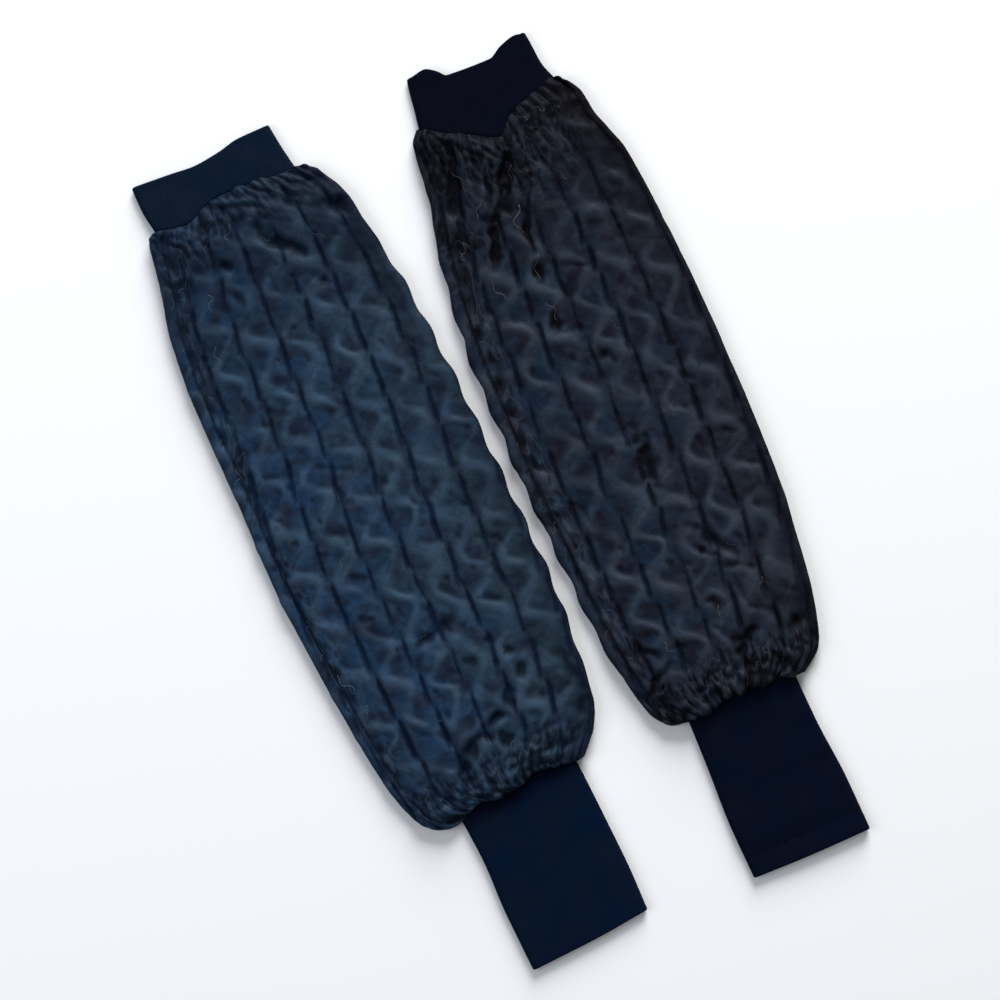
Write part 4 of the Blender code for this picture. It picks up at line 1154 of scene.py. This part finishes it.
looseThreads = {  # short ends and loops of sewing thread that lie on the cloth
    "radius": 0.00016,
    "bends": ((0, 34, 30, 12, -22, -48, -40, -8, 24, 30), (0, -26, -38, -20, 10, 44, 30, 12, -20),
              (0, 18, 40, 46, 28, -6, -34, -40, -14, 16, 22)),
    "bendEvery": 6,  # radii
    "left": {"pale": "#68717C", "dark": "#353E49", "rough": 0.6, "specular": 0.25},
    "right": {"pale": "#6E665D", "dark": "#35312E", "rough": 0.6, "specular": 0.25},
    # each from (x, y) to (x, y) in the sleeve's frame, in millimetres
    "leftPlaces": ((-52, 184, -56, 177), (-40, 190, -48, 185), (-13, 215, -17, 210),
                   (-42, 148, -45, 137), (27, 105, 28, 98), (-30, 8, -35, 3), (-63, -50, -58, -63),
                   (-55, -73, -62, -82), (-58, -113, -62, -120), (-47, -130, -50, -142),
                   (-20, 204, -24, 196), (-4, 207, -9, 199), (-33, 176, -36, 166),
                   (8, 192, 13, 188), (36, 182, 41, 176), (-12, 128, -16, 121),
                   (12, 60, 17, 55), (-6, -48, -12, -53), (30, -72, 27, -80), (-24, -96, -20, -104),
                   (44, -116, 49, -123), (12, -126, 7, -131), (24, -122, 29, -128)),
    "rightPlaces": ((-35, 190, -31, 175), (-2, 180, -5, 172), (-25, 168, -32, 158),
                    (-7, 157, -11, 140), (-8, 127, -13, 113), (-38, 123, -35, 110),
                    (-49, 103, -57, 92), (-15, 100, -13, 88), (12, 204, 17, 199),
                    (22, 205, 28, 201), (33, 203, 38, 198), (7, -97, 2, -110),
                    (-44, 150, -48, 140), (20, 168, 24, 160), (-22, 60, -27, 52),
                    (14, 78, 18, 70), (30, 20, 26, 12), (-12, -30, -17, -38), (24, -64, 30, -70),
                    (36, -92, 31, -99), (-30, -104, -26, -112), (18, -128, 23, -134),
                    (-38, -122, -43, -129)),
    "besideSeam": (16.5, 100, -95),  # spacing, first and last, down the lengthwise seam
    "fromEdge": (5.5, 8.5),
    "besideWrist": (13, 34),  # how many, and how far to either side
    "fromWrist": (10, 20),
    "flattened": (0.4, 1.0),  # how wide its bends are left
    "lowest": 0.0050,  # none hangs down between a body and its cuff
}


def modelThread(bends):  # extruded bend by bend, from a small ring to a rounded end
    bpy.ops.object.select_all(action="DESELECT")
    radius = looseThreads["radius"]
    bpy.ops.mesh.primitive_circle_add(vertices=6, radius=radius, fill_type="NGON",
                                      rotation=(math.pi / 2, 0, 0))
    bpy.ops.object.transform_apply(location=False, rotation=True, scale=False)
    thread = bpy.context.active_object
    bpy.ops.object.mode_set(mode="EDIT")
    bpy.ops.mesh.select_all(action="SELECT")
    every = looseThreads["bendEvery"] * radius
    heading, place = 0.0, Vector((0, 0, 0))
    for number, bend in enumerate(bends):
        heading += math.radians(bend)
        step = Vector((math.sin(heading), math.cos(heading), 0)) * every
        place = place + step
        bpy.ops.mesh.extrude_region_move(TRANSFORM_OT_translate={"value": step})
        bpy.ops.transform.rotate(value=math.radians(bend), orient_axis="Z", center_override=place)
        if number in (0, len(bends) - 1):
            bpy.ops.transform.resize(value=(0.6, 0.6, 0.6), center_override=place)
    bpy.ops.mesh.select_all(action="SELECT")
    bpy.ops.mesh.normals_make_consistent(inside=False)
    bpy.ops.object.mode_set(mode="OBJECT")
    bpy.ops.object.shade_smooth()
    thread.data.transform(Matrix.Rotation(math.atan2(place.x, place.y), 4, "Z"))  # along Y
    return thread


def layThreads(sleeve, quilted):
    name = sleeve["name"]
    random = np.random.default_rng(sleeve["seed"] + 5)
    places = list(looseThreads[name + "Places"])
    spacing, first, last = looseThreads["besideSeam"]
    ys = np.arange(first, last, -spacing)
    for x, y in zip(ringAt(sleeve, ys / 1000)["left"] * 1000, ys):
        x, y = x + random.uniform(*looseThreads["fromEdge"]), y + random.uniform(-3, 3)
        places.append((x, y, x - random.uniform(2, 5), y - random.uniform(5, 9)))
    count, widest = looseThreads["besideWrist"]
    for x in np.linspace(-widest, widest, count):
        x, y = x + random.uniform(-2, 2), random.uniform(*looseThreads["fromWrist"])
        y = y + sleeve["rows"][0][0] * 1000
        places.append((x, y, x + random.uniform(-4, 4), y - random.uniform(2, 5)))
    ground = BVHTree.FromPolygons([vertex.co for vertex in quilted.data.vertices],
                                  [polygon.vertices for polygon in quilted.data.polygons])
    models = [modelThread(bends) for bends in looseThreads["bends"]]
    lengths = [max(vertex.co.y for vertex in model.data.vertices) for model in models]
    matrices = []
    for x0, y0, x1, y1 in places:
        start, end = (layIn(sleeve, np.array((x, y, 0.0)) / 1000)
                      for x, y in ((x0, y0), (x1, y1)))
        number = int(random.integers(len(models)))
        run = Vector(end - start)
        stretch = run.length / lengths[number]
        turn = Matrix.Rotation(math.atan2(-run.x, run.y), 4, "Z")
        flattened = stretch * random.uniform(*looseThreads["flattened"])
        scale = Matrix.Diagonal((flattened, stretch, 1, 1))
        place = Matrix.Translation(Vector(start)) @ turn
        if random.uniform() < 0.5:  # laid the other way round
            place = place @ Matrix.Translation((0, run.length, 0))
            place = place @ Matrix.Rotation(math.pi, 4, "Z")
        matrices.append((number, place @ scale))
    piece = joinCopies(name + "_loose_threads", models, matrices)
    for vertex in piece.data.vertices:  # down onto the cloth
        hit = ground.ray_cast(Vector((vertex.co.x, vertex.co.y, 1)), Vector((0, 0, -1)))[0]
        vertex.co.z += max(hit.z, looseThreads["lowest"]) + 0.5 * looseThreads["radius"]
    return piece


def dress(piece, material, node=None):
    piece.data.materials.append(material)
    if node:
        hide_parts(node)
    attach(piece, "root")
    print(piece.name, "has", len(piece.data.vertices), "points")


for sleeve, quiltLook in ((leftSleeve, leftQuilt), (rightSleeve, rightQuilt)):
    name = sleeve["name"]
    quilted = makeBody(sleeve)
    dress(quilted, quiltedPolyester(name + "_quilted_polyester", quiltLook),
          name + "_body")
    dress(sewRuns(sleeve), sewingThread(name + "_sewing_thread", stitches[name]))
    dress(layThreads(sleeve, quilted),
          sewingThread(name + "_loose_sewing_thread", looseThreads[name]))
    for end in ("upper", "wrist"):
        knit = fineKnit(name + "_" + end + "_fine_knit", sleeve[end]["look"])
        dress(makeCuff(sleeve, end), knit, name + "_" + end + "_cuff")
print("sleeves made")

studio = {
    "viewMiddle": (-0.00766, 0.00442, 0.0),  # what the camera looks at
    "viewUp": (0.4202, 0.9074),
    "viewWidth": 0.570,  # metres across the picture at the cloth
    "clothHeight": 0.005,
    "cameraHeight": 2.4,
    "sensor": 36,
    "clipEnd": 30,
    "floorSize": 12.0,
    "floorDrop": 0.0002,  # so that it doesn't meet the undersides in the same plane
    "paper": {"colour": "#F1F2F3", "rough": 0.9, "specular": 0.1},
    # each light's place: right of the view's middle, up in the picture, and above the floor
    "lights": {"key_light": {"at": (0.5, 3.6, 1.75), "size": 2.4, "power": 265.0,
                             "colour": "#FFFFFF"},
               "fill_light": {"at": (-2.4, -0.4, 2.2), "size": 2.0, "power": 38.0,
                              "colour": "#E4EEFF"}},
    "world": 0.27,
}


def makeFloor():
    bpy.ops.object.select_all(action="DESELECT")
    bpy.ops.mesh.primitive_plane_add(size=studio["floorSize"], location=(0, 0, 0))
    floor = bpy.context.active_object
    floor.name = "floor"
    floor.data.transform(Matrix.Translation((0, 0, -studio["floorDrop"])))
    material, _, shader = newMaterial("matt_white_paper", studio["paper"])
    shader.inputs["Base Color"].default_value = toLinear(studio["paper"]["colour"])
    floor.data.materials.append(material)


def makeStudio():
    up = Vector((*studio["viewUp"], 0)).normalized()
    right = Vector((up.y, -up.x, 0))
    middle = Vector(studio["viewMiddle"])
    height = studio["cameraHeight"]
    lens = bpy.data.cameras.new("camera")
    lens.sensor_width = studio["sensor"]
    lens.lens = studio["sensor"] * (height - studio["clothHeight"]) / studio["viewWidth"]
    lens.clip_end = studio["clipEnd"]
    camera = bpy.data.objects.new("camera", lens)
    bpy.context.scene.collection.objects.link(camera)
    camera.matrix_world = Matrix.Translation(middle + Vector((0, 0, height))) @ Matrix(
        (right, up, (0, 0, 1))).transposed().to_4x4()
    bpy.context.scene.camera = camera
    for name, light in studio["lights"].items():
        data = bpy.data.lights.new(name, "AREA")
        data.shape, data.size, data.energy = "SQUARE", light["size"], light["power"]
        data.color = toLinear(light["colour"])[:3]
        lamp = bpy.data.objects.new(name, data)
        bpy.context.scene.collection.objects.link(lamp)
        aside, ahead, above = light["at"]
        place = middle + right * aside + up * ahead + Vector((0, 0, above))
        lamp.matrix_world = Matrix.Translation(place) @ (place - middle).to_track_quat(
            "Z", "Y").to_matrix().to_4x4()
    world = bpy.data.worlds.new("studio")
    bpy.context.scene.world = world
    world.use_nodes = True
    background = world.node_tree.nodes["Background"]
    background.inputs["Color"].default_value = toLinear("#FFFFFF")
    background.inputs["Strength"].default_value = studio["world"]
    bpy.context.scene.view_settings.view_transform = "Standard"


makeFloor()
makeStudio()
print("studio made")
